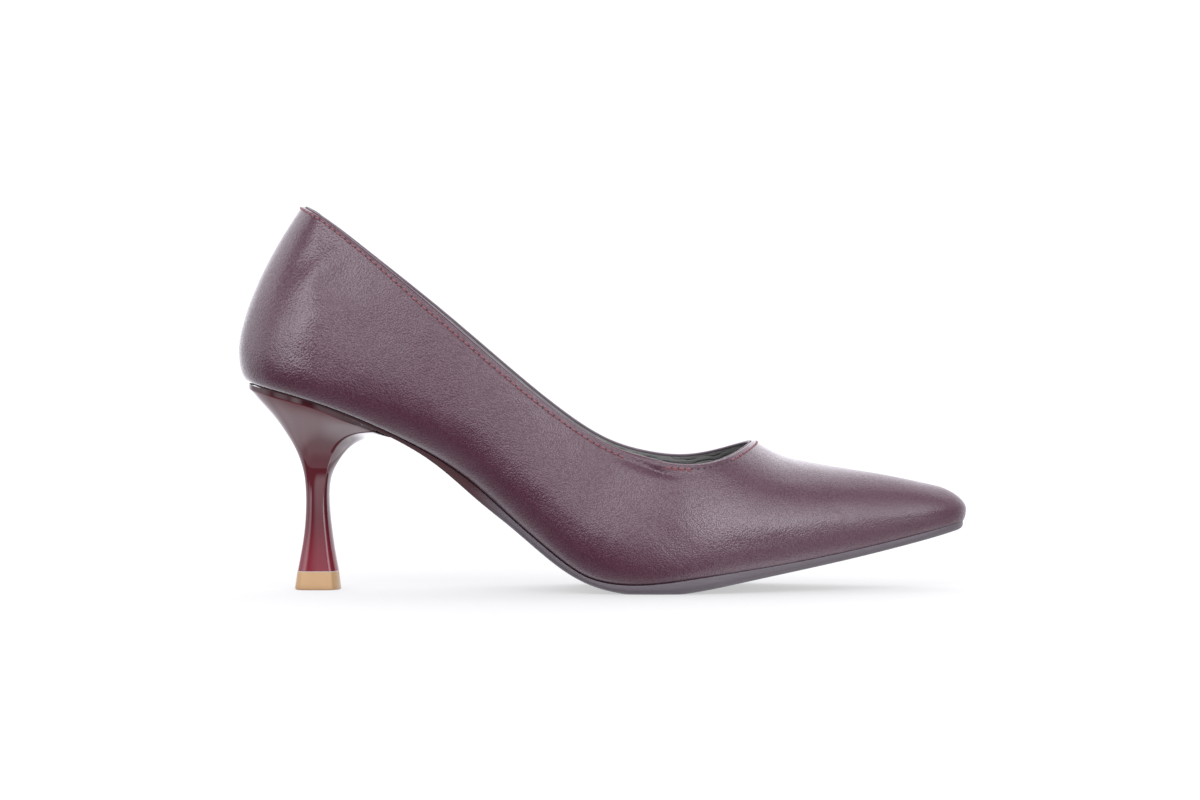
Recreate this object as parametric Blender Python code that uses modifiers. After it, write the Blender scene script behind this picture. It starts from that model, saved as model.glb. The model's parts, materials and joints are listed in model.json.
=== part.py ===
"""A pointed court shoe for the right foot, on a slim flared heel.

The shoe is built as a maker puts it together: a hollow upper drawn over the last and turned under
at its lower edge, an insole laid on that turned edge, an outsole closing it from below, a lacquered
heel under the seat and a rubber top piece under the heel.

Frame: metres, +X to the toe, +Y to the inner side of the foot, +Z up, the floor at zero.
The tables are in millimetres, with X counted from the middle of the shoe's length.
"""

import math
from typing import NamedTuple

import bmesh
import bpy
import numpy as np

MM = 0.001
OUTER, INNER = -1, 1  # which way Y runs to the outer and the inner side of the foot

# Driving sizes, in millimetres
WALL = 1.8  # leather, stiffener and lining together
GAP = 0.3  # glue line between two pieces
TURNED_EDGE = 6.0  # how far the upper is turned in under the insole
INSOLE_THICKNESS = 2.6
INSOLE_INSET = 2.6  # from the sole's edge line to the insole's edge
TOP_PIECE_HEIGHT = 6.3

# Where the outline closes at its two ends
TOE_START = 112.0
TOE_TIP_FEATHER = 126.4
TOE_TIP_BELLY = 128.4
TOE_TIP_RIDGE = 117.4
HEEL_START = -98.0
HEEL_BACK_FEATHER = -122.4
HEEL_BACK_BELLY = -126.4
HEEL_BACK_COLLAR = -104.0

# The throat is cut out of the full round of the last, which blends into the walls of the quarters
THROAT_POINT = 53.4
THROAT_START = 31.0
QUARTER_START = -10.0

# How full the curves of the wall are: 0.55 gives an ellipse, and more gives a squarer shoulder
LOWER_FULLNESS = 0.58
QUARTER_FULLNESS = 0.58
VAMP_FULLNESS = 0.52


class Bottom(NamedTuple):
    """The line where upper and sole meet, from the side, with the outsole's thickness under it."""

    x: float
    z: float
    sole: float


BOTTOM = (
    Bottom(-124, 73.3, 0.9),
    Bottom(-100, 66.8, 0.9),
    Bottom(-77, 57.6, 1.2),
    Bottom(-58, 48.0, 2.2),
    Bottom(-45, 39.8, 3.2),
    Bottom(-32, 29.8, 3.9),
    Bottom(-18, 18.4, 4.0),
    Bottom(-6, 9.4, 4.0),
    Bottom(4, 5.4, 4.3),
    Bottom(16, 4.1, 4.5),
    Bottom(30, 5.1, 4.5),
    Bottom(45, 7.3, 3.7),
    Bottom(62, 10.1, 3.1),
    Bottom(86, 14.4, 2.9),
    Bottom(106, 18.7, 2.7),
    Bottom(126, 23.6, 2.6),
)


class Girth(NamedTuple):
    """Half widths of the last at the sole's edge line and at its widest line, and where they lie."""

    x: float
    swing: float
    feather_out: float
    feather_in: float
    belly_up: float
    belly_out: float
    belly_in: float


GIRTH = (
    Girth(-126, 0.0, 24.5, 24.5, 10.5, 29.0, 29.0),
    Girth(-98, 0.0, 24.5, 24.5, 13.0, 29.0, 29.0),
    Girth(-77, 0.0, 23.5, 22.5, 16.0, 29.5, 29.0),
    Girth(-58, 0.0, 22.2, 19.5, 17.0, 30.6, 29.6),
    Girth(-40, 0.0, 22.8, 18.4, 17.0, 32.6, 31.0),
    Girth(-20, 0.2, 27.4, 22.4, 15.0, 35.6, 33.6),
    Girth(0, 0.4, 33.0, 29.6, 12.5, 38.4, 36.4),
    Girth(20, 0.8, 36.0, 34.6, 11.5, 39.8, 38.4),
    Girth(38, 1.4, 34.4, 35.0, 11.5, 37.8, 38.2),
    Girth(60, 2.4, 28.0, 29.4, 11.0, 31.2, 32.6),
    Girth(82, 3.4, 20.4, 21.6, 9.5, 23.4, 24.6),
    Girth(104, 4.2, 13.2, 13.8, 7.0, 15.8, 16.4),
    Girth(128, 4.8, 7.0, 7.2, 4.0, 8.8, 9.0),
)


class Collar(NamedTuple):
    """The edge of the opening: its height on each side, its half width and the bend of the wall."""

    x: float
    z_out: float
    z_in: float
    half: float
    corner: float


COLLAR = (
    Collar(-104, 134.2, 134.2, 10.0, 0.24),
    Collar(-98, 131.0, 130.8, 13.5, 0.25),
    Collar(-88, 123.8, 123.2, 18.6, 0.27),
    Collar(-76, 114.4, 113.5, 22.6, 0.30),
    Collar(-54, 96.3, 95.3, 26.8, 0.33),
    Collar(-33, 77.8, 77.0, 28.6, 0.34),
    Collar(-12, 60.6, 60.2, 29.6, 0.32),
    Collar(4, 50.2, 50.4, 29.8, 0.28),
    Collar(17, 46.2, 46.7, 29.4, 0.25),
    Collar(31, 45.2, 45.5, 28.4, 0.25),
    Collar(44, 47.5, 48.2, 27.0, 0.25),
    Collar(53.4, 52.2, 52.2, 26.0, 0.25),
)


class Ridge(NamedTuple):
    """The top line of the last, down the instep to the throat and on along the vamp to the toe."""

    x: float
    z: float


RIDGE = (
    Ridge(0, 86.0),
    Ridge(20, 73.4),
    Ridge(38, 62.2),
    Ridge(53.4, 52.2),
    Ridge(58, 48.9),
    Ridge(63.5, 46.0),
    Ridge(72, 43.9),
    Ridge(84.6, 42.1),
    Ridge(100, 39.6),
    Ridge(117, 36.0),
)


class HeelSection(NamedTuple):
    """A cut through the heel: its back point, the corner of its side, and its rounded breast."""

    back_x: float
    back_z: float
    corner_x: float
    corner_z: float
    breast_x: float
    half: float
    back_power: float


HEEL = (
    HeelSection(-105.9, 6.6, -94.2, 6.6, -91.6, 6.8, 4.0),
    HeelSection(-104.7, 13.0, -95.0, 13.0, -92.8, 5.9, 4.0),
    HeelSection(-103.5, 21.0, -95.8, 21.2, -94.0, 5.0, 3.8),
    HeelSection(-103.0, 30.0, -96.4, 30.3, -94.8, 4.4, 3.4),
    HeelSection(-103.4, 38.2, -96.0, 38.6, -94.4, 4.7, 3.0),
    HeelSection(-104.8, 44.4, -94.8, 44.6, -92.4, 6.3, 2.7),
    HeelSection(-107.2, 50.0, -92.6, 48.6, -89.0, 9.0, 2.5),
    HeelSection(-110.6, 55.4, -89.4, 51.2, -84.5, 13.0, 2.4),
    HeelSection(-114.6, 60.8, -86.0, 53.4, -80.6, 17.2, 2.3),
    HeelSection(-118.9, 66.2, -82.4, 55.2, -76.8, 20.6, 2.2),
    HeelSection(-121.9, 70.6, -79.4, 56.5, -74.0, 22.8, 2.1),
)

# How finely the curved pieces are cut into flat facets
TOE_RIBS, VAMP_RIBS, THROAT_RIBS, QUARTER_RIBS, HEEL_RIBS = 6, 9, 8, 20, 9
EDGE_STEPS, LOWER_STEPS, UPPER_STEPS = 2, 4, 9
HEEL_RINGS = 22
BACK_STEPS, SIDE_STEPS, BREAST_STEPS = 10, 3, 5


def spline(xs, ys):
    """A natural cubic spline through the points, running straight on past both ends."""
    xs, ys = np.asarray(xs, float), np.asarray(ys, float)
    span = np.diff(xs)
    slope = np.diff(ys) / span
    count = len(xs)
    system = np.eye(count)
    bend = np.zeros(count)
    for i in range(1, count - 1):
        system[i, i - 1 : i + 2] = span[i - 1], 2 * (span[i - 1] + span[i]), span[i]
        bend[i] = 6 * (slope[i] - slope[i - 1])
    curvature = np.linalg.solve(system, bend)

    def value(x):
        i = int(np.clip(np.searchsorted(xs, x) - 1, 0, count - 2))
        inside = min(max(x, xs[0]), xs[-1])
        a, b = xs[i + 1] - inside, inside - xs[i]
        height = span[i]
        curve = (curvature[i] * a**3 + curvature[i + 1] * b**3) / (6 * height)
        line = (ys[i] / height - curvature[i] * height / 6) * a
        line += (ys[i + 1] / height - curvature[i + 1] * height / 6) * b
        tilt = slope[i] + (curvature[i + 1] * (3 * b**2 - height**2)) / (6 * height)
        tilt -= curvature[i] * (3 * a**2 - height**2) / (6 * height)
        return curve + line + tilt * (x - inside)

    return value


def column(table, name):
    """The smooth run of one column of a table along the shoe."""
    return spline([row.x for row in table], [getattr(row, name) for row in table])


bottom_z, sole_thickness = (column(BOTTOM, name) for name in ("z", "sole"))
swing, belly_up = (column(GIRTH, name) for name in ("swing", "belly_up"))
feather_half = {OUTER: column(GIRTH, "feather_out"), INNER: column(GIRTH, "feather_in")}
belly_half = {OUTER: column(GIRTH, "belly_out"), INNER: column(GIRTH, "belly_in")}
collar_z = {OUTER: column(COLLAR, "z_out"), INNER: column(COLLAR, "z_in")}
collar_half, collar_corner = (column(COLLAR, name) for name in ("half", "corner"))
ridge_z = column(RIDGE, "z")


class Rib(NamedTuple):
    """One rib of the upper's wall: where it stands at each of its three heights.

    closing falls from 1 to 0 round the toe and the heel.
    """

    feather_x: float
    belly_x: float
    top_x: float
    closing: float


def toe_rib(angle):
    """A rib of the toe's end, from the side of the toe at 0 to its tip at a quarter turn."""
    reach = math.sin(angle)
    tips = (TOE_TIP_FEATHER, TOE_TIP_BELLY, TOE_TIP_RIDGE)
    return Rib(*(TOE_START + (tip - TOE_START) * reach for tip in tips), math.cos(angle))


def heel_rib(angle):
    """A rib of the counter, from the side of the heel at 0 to its back at a quarter turn."""
    reach = math.sin(angle)
    backs = (HEEL_BACK_FEATHER, HEEL_BACK_BELLY, HEEL_BACK_COLLAR)
    return Rib(*(HEEL_START + (back - HEEL_START) * reach for back in backs), math.cos(angle))


def straight_rib(x):
    """A rib that stands square across the shoe."""
    return Rib(x, x, x, 1.0)


def steps(first, last, count):
    """Evenly spaced values from first towards last, leaving last itself out."""
    return [first + (last - first) * i / count for i in range(count)]


def side_ribs():
    """The ribs of one side, from the tip of the toe round to the back of the heel."""
    quarter = math.pi / 2
    ribs = [toe_rib(angle) for angle in steps(quarter, 0, TOE_RIBS)]
    throat = THROAT_POINT - THROAT_START
    ribs += [straight_rib(x) for x in steps(TOE_START, THROAT_POINT, VAMP_RIBS)]
    crowding = (math.sin(angle) for angle in steps(quarter, 0, THROAT_RIBS))
    ribs += [straight_rib(THROAT_START + throat * share) for share in crowding]
    ribs += [straight_rib(x) for x in steps(THROAT_START, HEEL_START, QUARTER_RIBS)]
    ribs += [heel_rib(angle) for angle in steps(0, quarter, HEEL_RIBS)]
    return ribs + [heel_rib(quarter)]


def curve_point(start, corner, end, fullness, t):
    """The point at t, from 0 to 1, on the curve from start to end that turns near corner."""
    first = start + fullness * (corner - start)
    second = end + fullness * (corner - end)
    s = 1 - t
    return s**3 * start + 3 * s * s * t * first + 3 * s * t * t * second + t**3 * end


def cut_at(height, start, corner, end):
    """How far along a rising curve of the wall its height is reached."""
    low, high = 0.0, 1.0
    for _ in range(40):
        middle = (low + high) / 2
        if curve_point(start, corner, end, VAMP_FULLNESS, middle)[2] < height:
            low = middle
        else:
            high = middle
    return high


def last_wall(belly, x, height):
    """The wall from the widest line up over the last, cut off at a height, or whole to the ridge."""
    ridge = np.array([x, swing(x), ridge_z(x)])
    slope = ridge_z(x + 0.5) - ridge_z(x - 0.5)
    corner = np.array([belly[0], belly[1], ridge[2] + slope * (belly[0] - ridge[0])])
    end = 1.0 if height is None else cut_at(height, belly, corner, ridge)
    shares = (end * i / UPPER_STEPS for i in range(1, UPPER_STEPS + 1))
    return [curve_point(belly, corner, ridge, VAMP_FULLNESS, t) for t in shares]


def quarter_wall(side, belly, rib):
    """The wall from the widest line up to the collar, beside and behind the ankle."""
    x = rib.top_x
    half = collar_half(x) * rib.closing
    collar = np.array([x, swing(x) + side * half, collar_z[side](x)])
    corner = belly.copy()
    corner[2] += collar_corner(x) * (collar[2] - belly[2])
    shares = (i / UPPER_STEPS for i in range(1, UPPER_STEPS + 1))
    return [curve_point(belly, corner, collar, QUARTER_FULLNESS, t) for t in shares]


def upper_wall(side, belly, rib):
    """The wall above the widest line, blended where the throat runs out into the quarters."""
    x = rib.top_x
    if x >= THROAT_POINT:
        return last_wall(belly, x, None)
    if x <= QUARTER_START:
        return quarter_wall(side, belly, rib)
    share = min((x - QUARTER_START) / (THROAT_START - QUARTER_START), 1)
    share = share * share * (3 - 2 * share)
    pairs = zip(quarter_wall(side, belly, rib), last_wall(belly, x, collar_z[side](x)))
    return [quarter + share * (throat - quarter) for quarter, throat in pairs]


def rib_points(side, rib):
    """The points of one rib, from the turned edge under the foot up to the collar or the ridge."""
    floor = bottom_z(rib.feather_x)
    half = feather_half[side](rib.feather_x)
    feather = np.array([rib.feather_x, swing(rib.feather_x) + side * half * rib.closing, floor])
    turned = turned_edge_point(side, rib)

    belly = feather.copy()
    belly[0] = rib.belly_x
    belly[1] = swing(rib.belly_x) + side * belly_half[side](rib.belly_x) * rib.closing
    belly[2] += belly_up(rib.belly_x)

    points = [turned + (feather - turned) * i / EDGE_STEPS for i in range(EDGE_STEPS + 1)]
    corner = np.array([belly[0], belly[1], floor])
    shares = (i / LOWER_STEPS for i in range(1, LOWER_STEPS + 1))
    points += [curve_point(feather, corner, belly, LOWER_FULLNESS, t) for t in shares]
    return points + upper_wall(side, belly, rib)


def turned_edge_point(side, rib):
    """The free edge of the leather under the foot, which narrows with the toe."""
    ends = {True: TOE_TIP_FEATHER - TOE_START, False: HEEL_BACK_FEATHER - HEEL_START}
    x = rib.feather_x
    if rib.closing < 1:
        start, reach = (TOE_START, ends[True]) if x > 0 else (HEEL_START, ends[False])
        x = start + (x - start) * (1 - TURNED_EDGE / abs(reach))
    half = feather_half[side](x)
    half = max(half - TURNED_EDGE, 0.4 * half)
    return np.array([x, swing(x) + side * half * rib.closing, bottom_z(x)])


def lifted(x, distance):
    """The height of a line that runs at a distance above the sole's edge line, square to its slope."""
    slope = bottom_z(x + 0.5) - bottom_z(x - 0.5)
    return bottom_z(x) + distance * math.hypot(1, slope)


def plan_line(side, inset, along):
    """The sole's edge line from above, moved in by inset: X and Y at each rib."""
    points = []
    for rib in along:
        x = rib.feather_x
        if rib.closing < 1:
            start, tip = (TOE_START, TOE_TIP_FEATHER) if x > 0 else (HEEL_START, HEEL_BACK_FEATHER)
            x = start + (x - start) * (1 - inset(x) / abs(tip - start))
        half = max(feather_half[side](x) - inset(x), 0.5)
        points.append((x, swing(x) + side * half * rib.closing))
    return points


def frame_shift():
    """What brings the middle of the shoe's length and width over the origin."""
    walls = [rib_points(side, rib) for side in (OUTER, INNER) for rib in side_ribs()]
    points = np.concatenate([np.array(wall) for wall in walls])
    middle = (points.min(axis=0) + points.max(axis=0)) / 2
    return -middle[0], -middle[1], 0.0


def make_mesh(name, bm, material):
    """Turns a finished bmesh in millimetres into a named object of the shoe."""
    bmesh.ops.remove_doubles(bm, verts=bm.verts, dist=0.001)
    bmesh.ops.recalc_face_normals(bm, faces=bm.faces)
    bmesh.ops.translate(bm, vec=frame_shift(), verts=bm.verts)
    bmesh.ops.scale(bm, vec=(MM, MM, MM), verts=bm.verts)
    mesh = bpy.data.meshes.new(name)
    bm.to_mesh(mesh)
    bm.free()
    mesh.shade_smooth()
    mesh.set_sharp_from_angle(angle=math.radians(40))
    mesh.materials.append(material)
    obj = bpy.data.objects.new(name, mesh)
    shoe_collection.objects.link(obj)
    obj.parent = shoe_empty
    return obj


def skin(rings, closed):
    """A bmesh of quads between rings of equally many points; closed joins each ring's two ends."""
    bm = bmesh.new()
    rows = [[bm.verts.new(point) for point in ring] for ring in rings]
    around = len(rows[0])
    for low, high in zip(rows, rows[1:]):
        for i in range(around if closed else around - 1):
            j = (i + 1) % around
            bm.faces.new((low[i], low[j], high[j], high[i]))
    return bm, rows


def make_material(name, colour, roughness, coat=0.0):
    material = bpy.data.materials.new(name)
    material.use_nodes = True
    shader = material.node_tree.nodes["Principled BSDF"]
    shader.inputs["Base Color"].default_value = (*colour, 1)
    shader.inputs["Roughness"].default_value = roughness
    shader.inputs["Metallic"].default_value = 0.0
    shader.inputs["Coat Weight"].default_value = coat
    return material


def make_upper():
    """The wall of the shoe: one skin drawn over the last, with its real thickness to the inside."""
    outer = [rib_points(OUTER, rib) for rib in side_ribs()]
    inner = [rib_points(INNER, rib) for rib in reversed(side_ribs()[1:-1])]
    ribs = outer + inner
    bm, _ = skin(ribs + ribs[:1], closed=False)
    upper = make_mesh("upper", bm, make_material("burgundy_leather", (0.08, 0.018, 0.03), 0.42))
    wall = upper.modifiers.new("wall", "SOLIDIFY")
    wall.thickness = WALL * MM
    wall.offset = -1
    wall.use_even_offset = True
    return upper


def sole_inset(x):
    """The outsole stands out past the edge line ahead of the heel, and lies just inside it above."""
    seat_inset, welt_inset = 0.7, -0.9
    seat_end, waist_start = -80.0, -50.0
    share = min(max((x - seat_end) / (waist_start - seat_end), 0), 1)
    return seat_inset + (welt_inset - seat_inset) * share * share * (3 - 2 * share)


def make_outsole():
    """A thin sole with a rounded edge, crowned at the waist and flat where it treads."""
    edge_round, bottom_round = 0.8, 2.4
    rings = []
    ribs = side_ribs()
    outer, inner = (plan_line(side, sole_inset, ribs) for side in (OUTER, INNER))
    for (x, y_out), (_, y_in), rib in zip(outer, inner, ribs):
        top = lifted(x, -GAP)
        low = max(lifted(x, -GAP - sole_thickness(x)), 0.0)
        middle = (y_out + y_in) / 2
        width = (y_in - y_out) / 2
        in_by = [0, 0, edge_round, bottom_round]
        heights = [top + share * (low - top) for share in (0, 0.5, 0.86, 1)]
        across = [max(1 - inset / width, 0.5) if width > 0.01 else 0 for inset in in_by]
        left = [(x, middle - width * share, z) for share, z in zip(across, heights)]
        right = [(x, middle + width * share, z) for share, z in zip(across, heights)]
        rings.append(left + [(x, middle, low)] + right[::-1] + [(x, middle, top)])
    bm, _ = skin(rings, closed=True)
    return make_mesh("outsole", bm, make_material("burgundy_sole", (0.1, 0.035, 0.05), 0.5))


def make_insole():
    """The padded board inside the shoe, lying on the turned edge of the upper."""
    rings = []
    ribs = side_ribs()
    lines = [plan_line(side, lambda x: INSOLE_INSET, ribs) for side in (OUTER, INNER)]
    for (x, y_out), (_, y_in) in zip(*lines):
        low = lifted(x, WALL + GAP)
        brim = lifted(x, WALL + GAP + 0.6 * INSOLE_THICKNESS)
        high = lifted(x, WALL + GAP + INSOLE_THICKNESS)
        middle = (y_out + y_in) / 2
        rim = 0.85
        ring = [(x, y_out, low), (x, y_out, brim)]
        ring += [(x, middle + rim * (y_out - middle), high), (x, middle, high)]
        ring += [(x, middle + rim * (y_in - middle), high)]
        ring += [(x, y_in, brim), (x, y_in, low), (x, middle, low)]
        rings.append(ring)
    bm, _ = skin(rings, closed=True)
    return make_mesh("insole", bm, make_material("charcoal_lining", (0.03, 0.032, 0.034), 0.7))


def heel_outline(section):
    """One half of a cut through the heel from above: the back, the side and the breast."""
    back, corner, half = section.back_x, section.corner_x, section.half
    widest = back + 0.56 * (corner - back)
    corner_half = 0.95 * half
    points = []
    for i in range(BACK_STEPS):
        angle = math.pi / 2 * i / BACK_STEPS
        x = widest - (widest - back) * math.cos(angle) ** (2 / section.back_power)
        points.append((x, half * math.sin(angle) ** (2 / section.back_power)))
    for share in steps(0, 1, SIDE_STEPS):
        points.append((widest + share * (corner - widest), half + share * (corner_half - half)))
    for share in steps(1, 0, BREAST_STEPS):
        x = corner + (section.breast_x - corner) * (1 - share * share)
        points.append((x, corner_half * share))
    return points + [(section.breast_x, 0.0)]


def heel_ring(section, settle):
    """The whole outline of one cut through the heel, from its back round both sides.

    settle runs from 0 at the tip to 1 at the seat, where the cut follows the curve of the sole.
    """
    back, corner = section.back_x, section.corner_x
    outline = heel_outline(section)
    ring = []
    for x, y in outline + [(x, -y) for x, y in outline[-2:0:-1]]:
        share = (x - back) / (corner - back)
        z = section.back_z + share * (section.corner_z - section.back_z)
        seat_chord = heel_seat_z(back) + share * (heel_seat_z(corner) - heel_seat_z(back))
        ring.append((x, y, z + settle**2 * (heel_seat_z(x) - seat_chord)))
    return ring


def heel_seat_z(x):
    """The height of the heel's top face, under the outsole."""
    return lifted(x, -sole_thickness(x) - 2 * GAP)


def seat_section():
    """The heel's topmost cut, drawn in a little from the shoulder below it."""
    shoulder = 0.9
    last = HEEL[-1]
    back, corner = last.back_x + shoulder * 0.4, last.corner_x + shoulder
    return last._replace(
        back_x=back,
        back_z=heel_seat_z(back),
        corner_x=corner,
        corner_z=heel_seat_z(corner),
        breast_x=last.breast_x + shoulder,
        half=last.half - shoulder,
    )


def close_ring(bm, row):
    """Closes a ring with strips across it, so that the closed end keeps the ring's bend."""
    count = len(row)
    for i in range(count // 2):
        corners = (row[i], row[i + 1], row[(count - i - 1) % count], row[(count - i) % count])
        bm.faces.new(dict.fromkeys(corners))


def make_heel():
    """The heel block: a slim stem that flares to its tip and opens out under the seat."""
    places = range(len(HEEL))
    runs = [spline(places, [section[i] for section in HEEL]) for i in range(len(HEEL[0]))]
    rings = []
    for ring in range(HEEL_RINGS):
        share = ring / (HEEL_RINGS - 1)
        section = HeelSection(*(run(share * (len(HEEL) - 1)) for run in runs))
        rings.append(heel_ring(section, share))
    rings.append(heel_ring(seat_section(), 1.0))
    bm, rows = skin(rings, closed=True)
    close_ring(bm, rows[0])
    close_ring(bm, rows[-1])
    return make_mesh("heel", bm, make_material("lacquer", (0.13, 0.012, 0.02), 0.08, coat=1.0))


def make_top_piece():
    """The rubber tip under the heel, widening to the floor with its lower edge eased."""
    heel_foot = HEEL[0]
    flare, ease = 0.9, 0.5
    rings = []
    for z, grow in ((0.0, flare - ease), (ease, flare), (TOP_PIECE_HEIGHT, 0.0)):
        section = heel_foot._replace(
            back_x=heel_foot.back_x - grow,
            back_z=z,
            corner_x=heel_foot.corner_x + 0.4 * grow,
            corner_z=z,
            breast_x=heel_foot.breast_x + 0.8 * grow,
            half=heel_foot.half + 0.7 * grow,
        )
        rings.append(heel_ring(section, 0.0))
    bm, rows = skin(rings, closed=True)
    close_ring(bm, rows[0])
    close_ring(bm, rows[-1])
    return make_mesh("top_piece", bm, make_material("tan_rubber", (0.62, 0.37, 0.17), 0.55))


for old in list(bpy.data.objects):
    bpy.data.objects.remove(old)
shoe_collection = bpy.data.collections.new("high_heel")
bpy.context.scene.collection.children.link(shoe_collection)
shoe_empty = bpy.data.objects.new("shoe", None)
shoe_collection.objects.link(shoe_empty)

make_upper()
make_outsole()
make_insole()
make_heel()
make_top_piece()
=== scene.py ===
# %% [markdown]
# # A pointed court shoe on a lacquered heel
# This lesson dresses a finished set of solids: a burgundy leather upper with red topstitching, a
# charcoal lining, a thin moulded sole, a glossy heel and a tan rubber tip.  The solids stay where
# they are.  Each one is replaced by a finer piece that follows the same sizes, so we begin by
# loading them.

# %% Load the solids
import json
import math
from typing import NamedTuple

import bmesh
import bpy
import numpy as np
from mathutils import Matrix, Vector
from mathutils.bvhtree import BVHTree
from mathutils.kdtree import KDTree

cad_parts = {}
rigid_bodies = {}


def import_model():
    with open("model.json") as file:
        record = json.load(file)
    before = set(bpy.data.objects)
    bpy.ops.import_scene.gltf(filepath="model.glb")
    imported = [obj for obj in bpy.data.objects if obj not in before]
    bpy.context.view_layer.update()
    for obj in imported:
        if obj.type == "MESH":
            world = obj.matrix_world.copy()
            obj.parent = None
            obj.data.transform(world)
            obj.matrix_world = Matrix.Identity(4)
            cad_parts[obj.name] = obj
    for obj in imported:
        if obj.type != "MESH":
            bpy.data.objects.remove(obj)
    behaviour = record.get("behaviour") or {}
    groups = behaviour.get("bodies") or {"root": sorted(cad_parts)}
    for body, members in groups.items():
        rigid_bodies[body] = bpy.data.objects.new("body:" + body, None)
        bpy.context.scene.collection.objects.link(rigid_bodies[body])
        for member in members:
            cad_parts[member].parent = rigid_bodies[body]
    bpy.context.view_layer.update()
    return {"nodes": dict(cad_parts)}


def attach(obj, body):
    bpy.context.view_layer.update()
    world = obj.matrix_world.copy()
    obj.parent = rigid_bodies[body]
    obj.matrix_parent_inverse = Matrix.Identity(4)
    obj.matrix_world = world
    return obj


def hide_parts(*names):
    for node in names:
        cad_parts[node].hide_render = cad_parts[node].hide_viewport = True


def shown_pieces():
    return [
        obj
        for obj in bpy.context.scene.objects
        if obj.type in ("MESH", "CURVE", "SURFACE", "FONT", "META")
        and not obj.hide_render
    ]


for old in list(bpy.data.objects):
    bpy.data.objects.remove(old)
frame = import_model()

# %% [markdown]
# ## The last
# A shoe is drawn over a last, a foot-shaped block.  We could sculpt the finer pieces, but then they
# would drift away from the solids.  Instead short tables describe the last here as they do in the
# solids, fitted a little closer to the photo: where upper and sole meet, how wide the last is,
# where the collar is cut and how high the ridge of the vamp runs.  A cubic spline through each
# column gives that size anywhere along the shoe.
# Tables are in millimetres, with X to the toe and counted from the middle of the shoe.

# %% Sizes that drive the shoe
MM = 0.001
OUTER, INNER = -1, 1  # which way Y runs to the outer and the inner side of the foot
WALL = 1.8
GAP = 0.3
TURNED_EDGE = 6.0
TURNED_SHARE = 0.4  # the turned edge leaves at least this share of the width open
INSOLE_THICKNESS = 2.6
TOP_PIECE_HEIGHT = 6.3
TOE_START, HEEL_START = 112.0, -98.0
TOE_TIPS = (126.4, 128.4, 117.4)  # at the sole's edge line, at the widest line, on the ridge
HEEL_BACKS = (-122.4, -126.4, -104.0)  # at the edge line, at the widest line, at the collar
THROAT_POINT, THROAT_START, QUARTER_START = 53.4, 31.0, -10.0
VAMP_FROM = THROAT_POINT - 1e-6  # ribs from here to the toe climb to the ridge
LOWER_FULLNESS, QUARTER_FULLNESS, VAMP_FULLNESS = 0.58, 0.58, 0.52


class Bottom(NamedTuple):
    """The line where upper and sole meet, from the side, with the outsole's thickness under it."""

    x: float
    z: float
    sole: float


BOTTOM = (
    Bottom(-124, 73.3, 0.9),
    Bottom(-100, 66.8, 0.9),
    Bottom(-77, 57.6, 1.2),
    Bottom(-58, 47.6, 2.0),
    Bottom(-45, 38.5, 3.3),
    Bottom(-32, 27.0, 2.5),
    Bottom(-18, 15.0, 2.4),
    Bottom(-6, 6.6, 2.1),
    Bottom(4, 3.8, 2.7),
    Bottom(16, 3.5, 3.6),
    Bottom(30, 5.0, 4.4),
    Bottom(45, 7.0, 3.8),
    Bottom(62, 9.4, 2.9),
    Bottom(86, 13.6, 2.4),
    Bottom(106, 17.9, 2.2),
    Bottom(126, 22.9, 2.1),
)


class Girth(NamedTuple):
    """Half widths of the last on each side: at its feather, the sole's edge line, and at its belly.

    The belly is the widest line, belly_up above the feather.  Swing moves the middle inwards.
    """

    x: float
    swing: float
    feather_out: float
    feather_in: float
    belly_up: float
    belly_out: float
    belly_in: float


GIRTH = (
    Girth(-126, 0.0, 24.5, 24.5, 10.5, 29.0, 29.0),
    Girth(-98, 0.0, 24.5, 24.5, 13.0, 29.0, 29.0),
    Girth(-77, 0.0, 23.5, 22.5, 16.0, 29.5, 29.0),
    Girth(-58, 0.0, 22.2, 19.5, 17.4, 30.6, 29.6),
    Girth(-40, 0.0, 22.8, 18.4, 18.8, 32.6, 31.0),
    Girth(-20, 0.2, 27.4, 22.4, 18.2, 35.6, 33.6),
    Girth(0, 0.4, 33.0, 29.6, 14.8, 38.4, 36.4),
    Girth(20, 0.8, 36.0, 34.6, 12.0, 39.8, 38.4),
    Girth(38, 1.4, 34.4, 35.0, 11.7, 37.8, 38.2),
    Girth(60, 2.4, 28.0, 29.4, 11.6, 31.2, 32.6),
    Girth(82, 3.4, 20.4, 21.6, 10.2, 23.4, 24.6),
    Girth(104, 4.2, 13.2, 13.8, 7.8, 15.8, 16.4),
    Girth(128, 4.8, 7.0, 7.2, 4.7, 8.8, 9.0),
)


class Collar(NamedTuple):
    """The edge of the opening: its height on each side, its half width and the bend of the wall."""

    x: float
    z_out: float
    z_in: float
    half: float
    corner: float


COLLAR = (
    Collar(-104, 134.2, 134.2, 10.0, 0.38),
    Collar(-98, 131.0, 130.4, 13.5, 0.38),
    Collar(-88, 123.6, 122.8, 18.6, 0.33),
    Collar(-76, 114.0, 113.1, 22.6, 0.31),
    Collar(-54, 95.6, 95.1, 26.8, 0.33),
    Collar(-33, 77.6, 77.2, 28.6, 0.34),
    Collar(-12, 61.0, 60.3, 29.6, 0.32),
    Collar(4, 51.3, 50.5, 29.8, 0.28),
    Collar(17, 47.1, 46.6, 29.4, 0.25),
    Collar(31, 45.3, 45.6, 28.4, 0.25),
    Collar(44, 47.5, 48.5, 27.0, 0.25),
    Collar(53.4, 52.2, 52.2, 26.0, 0.25),
)


class Ridge(NamedTuple):
    """The top line of the last, down the instep to the throat and on along the vamp to the toe."""

    x: float
    z: float


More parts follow.
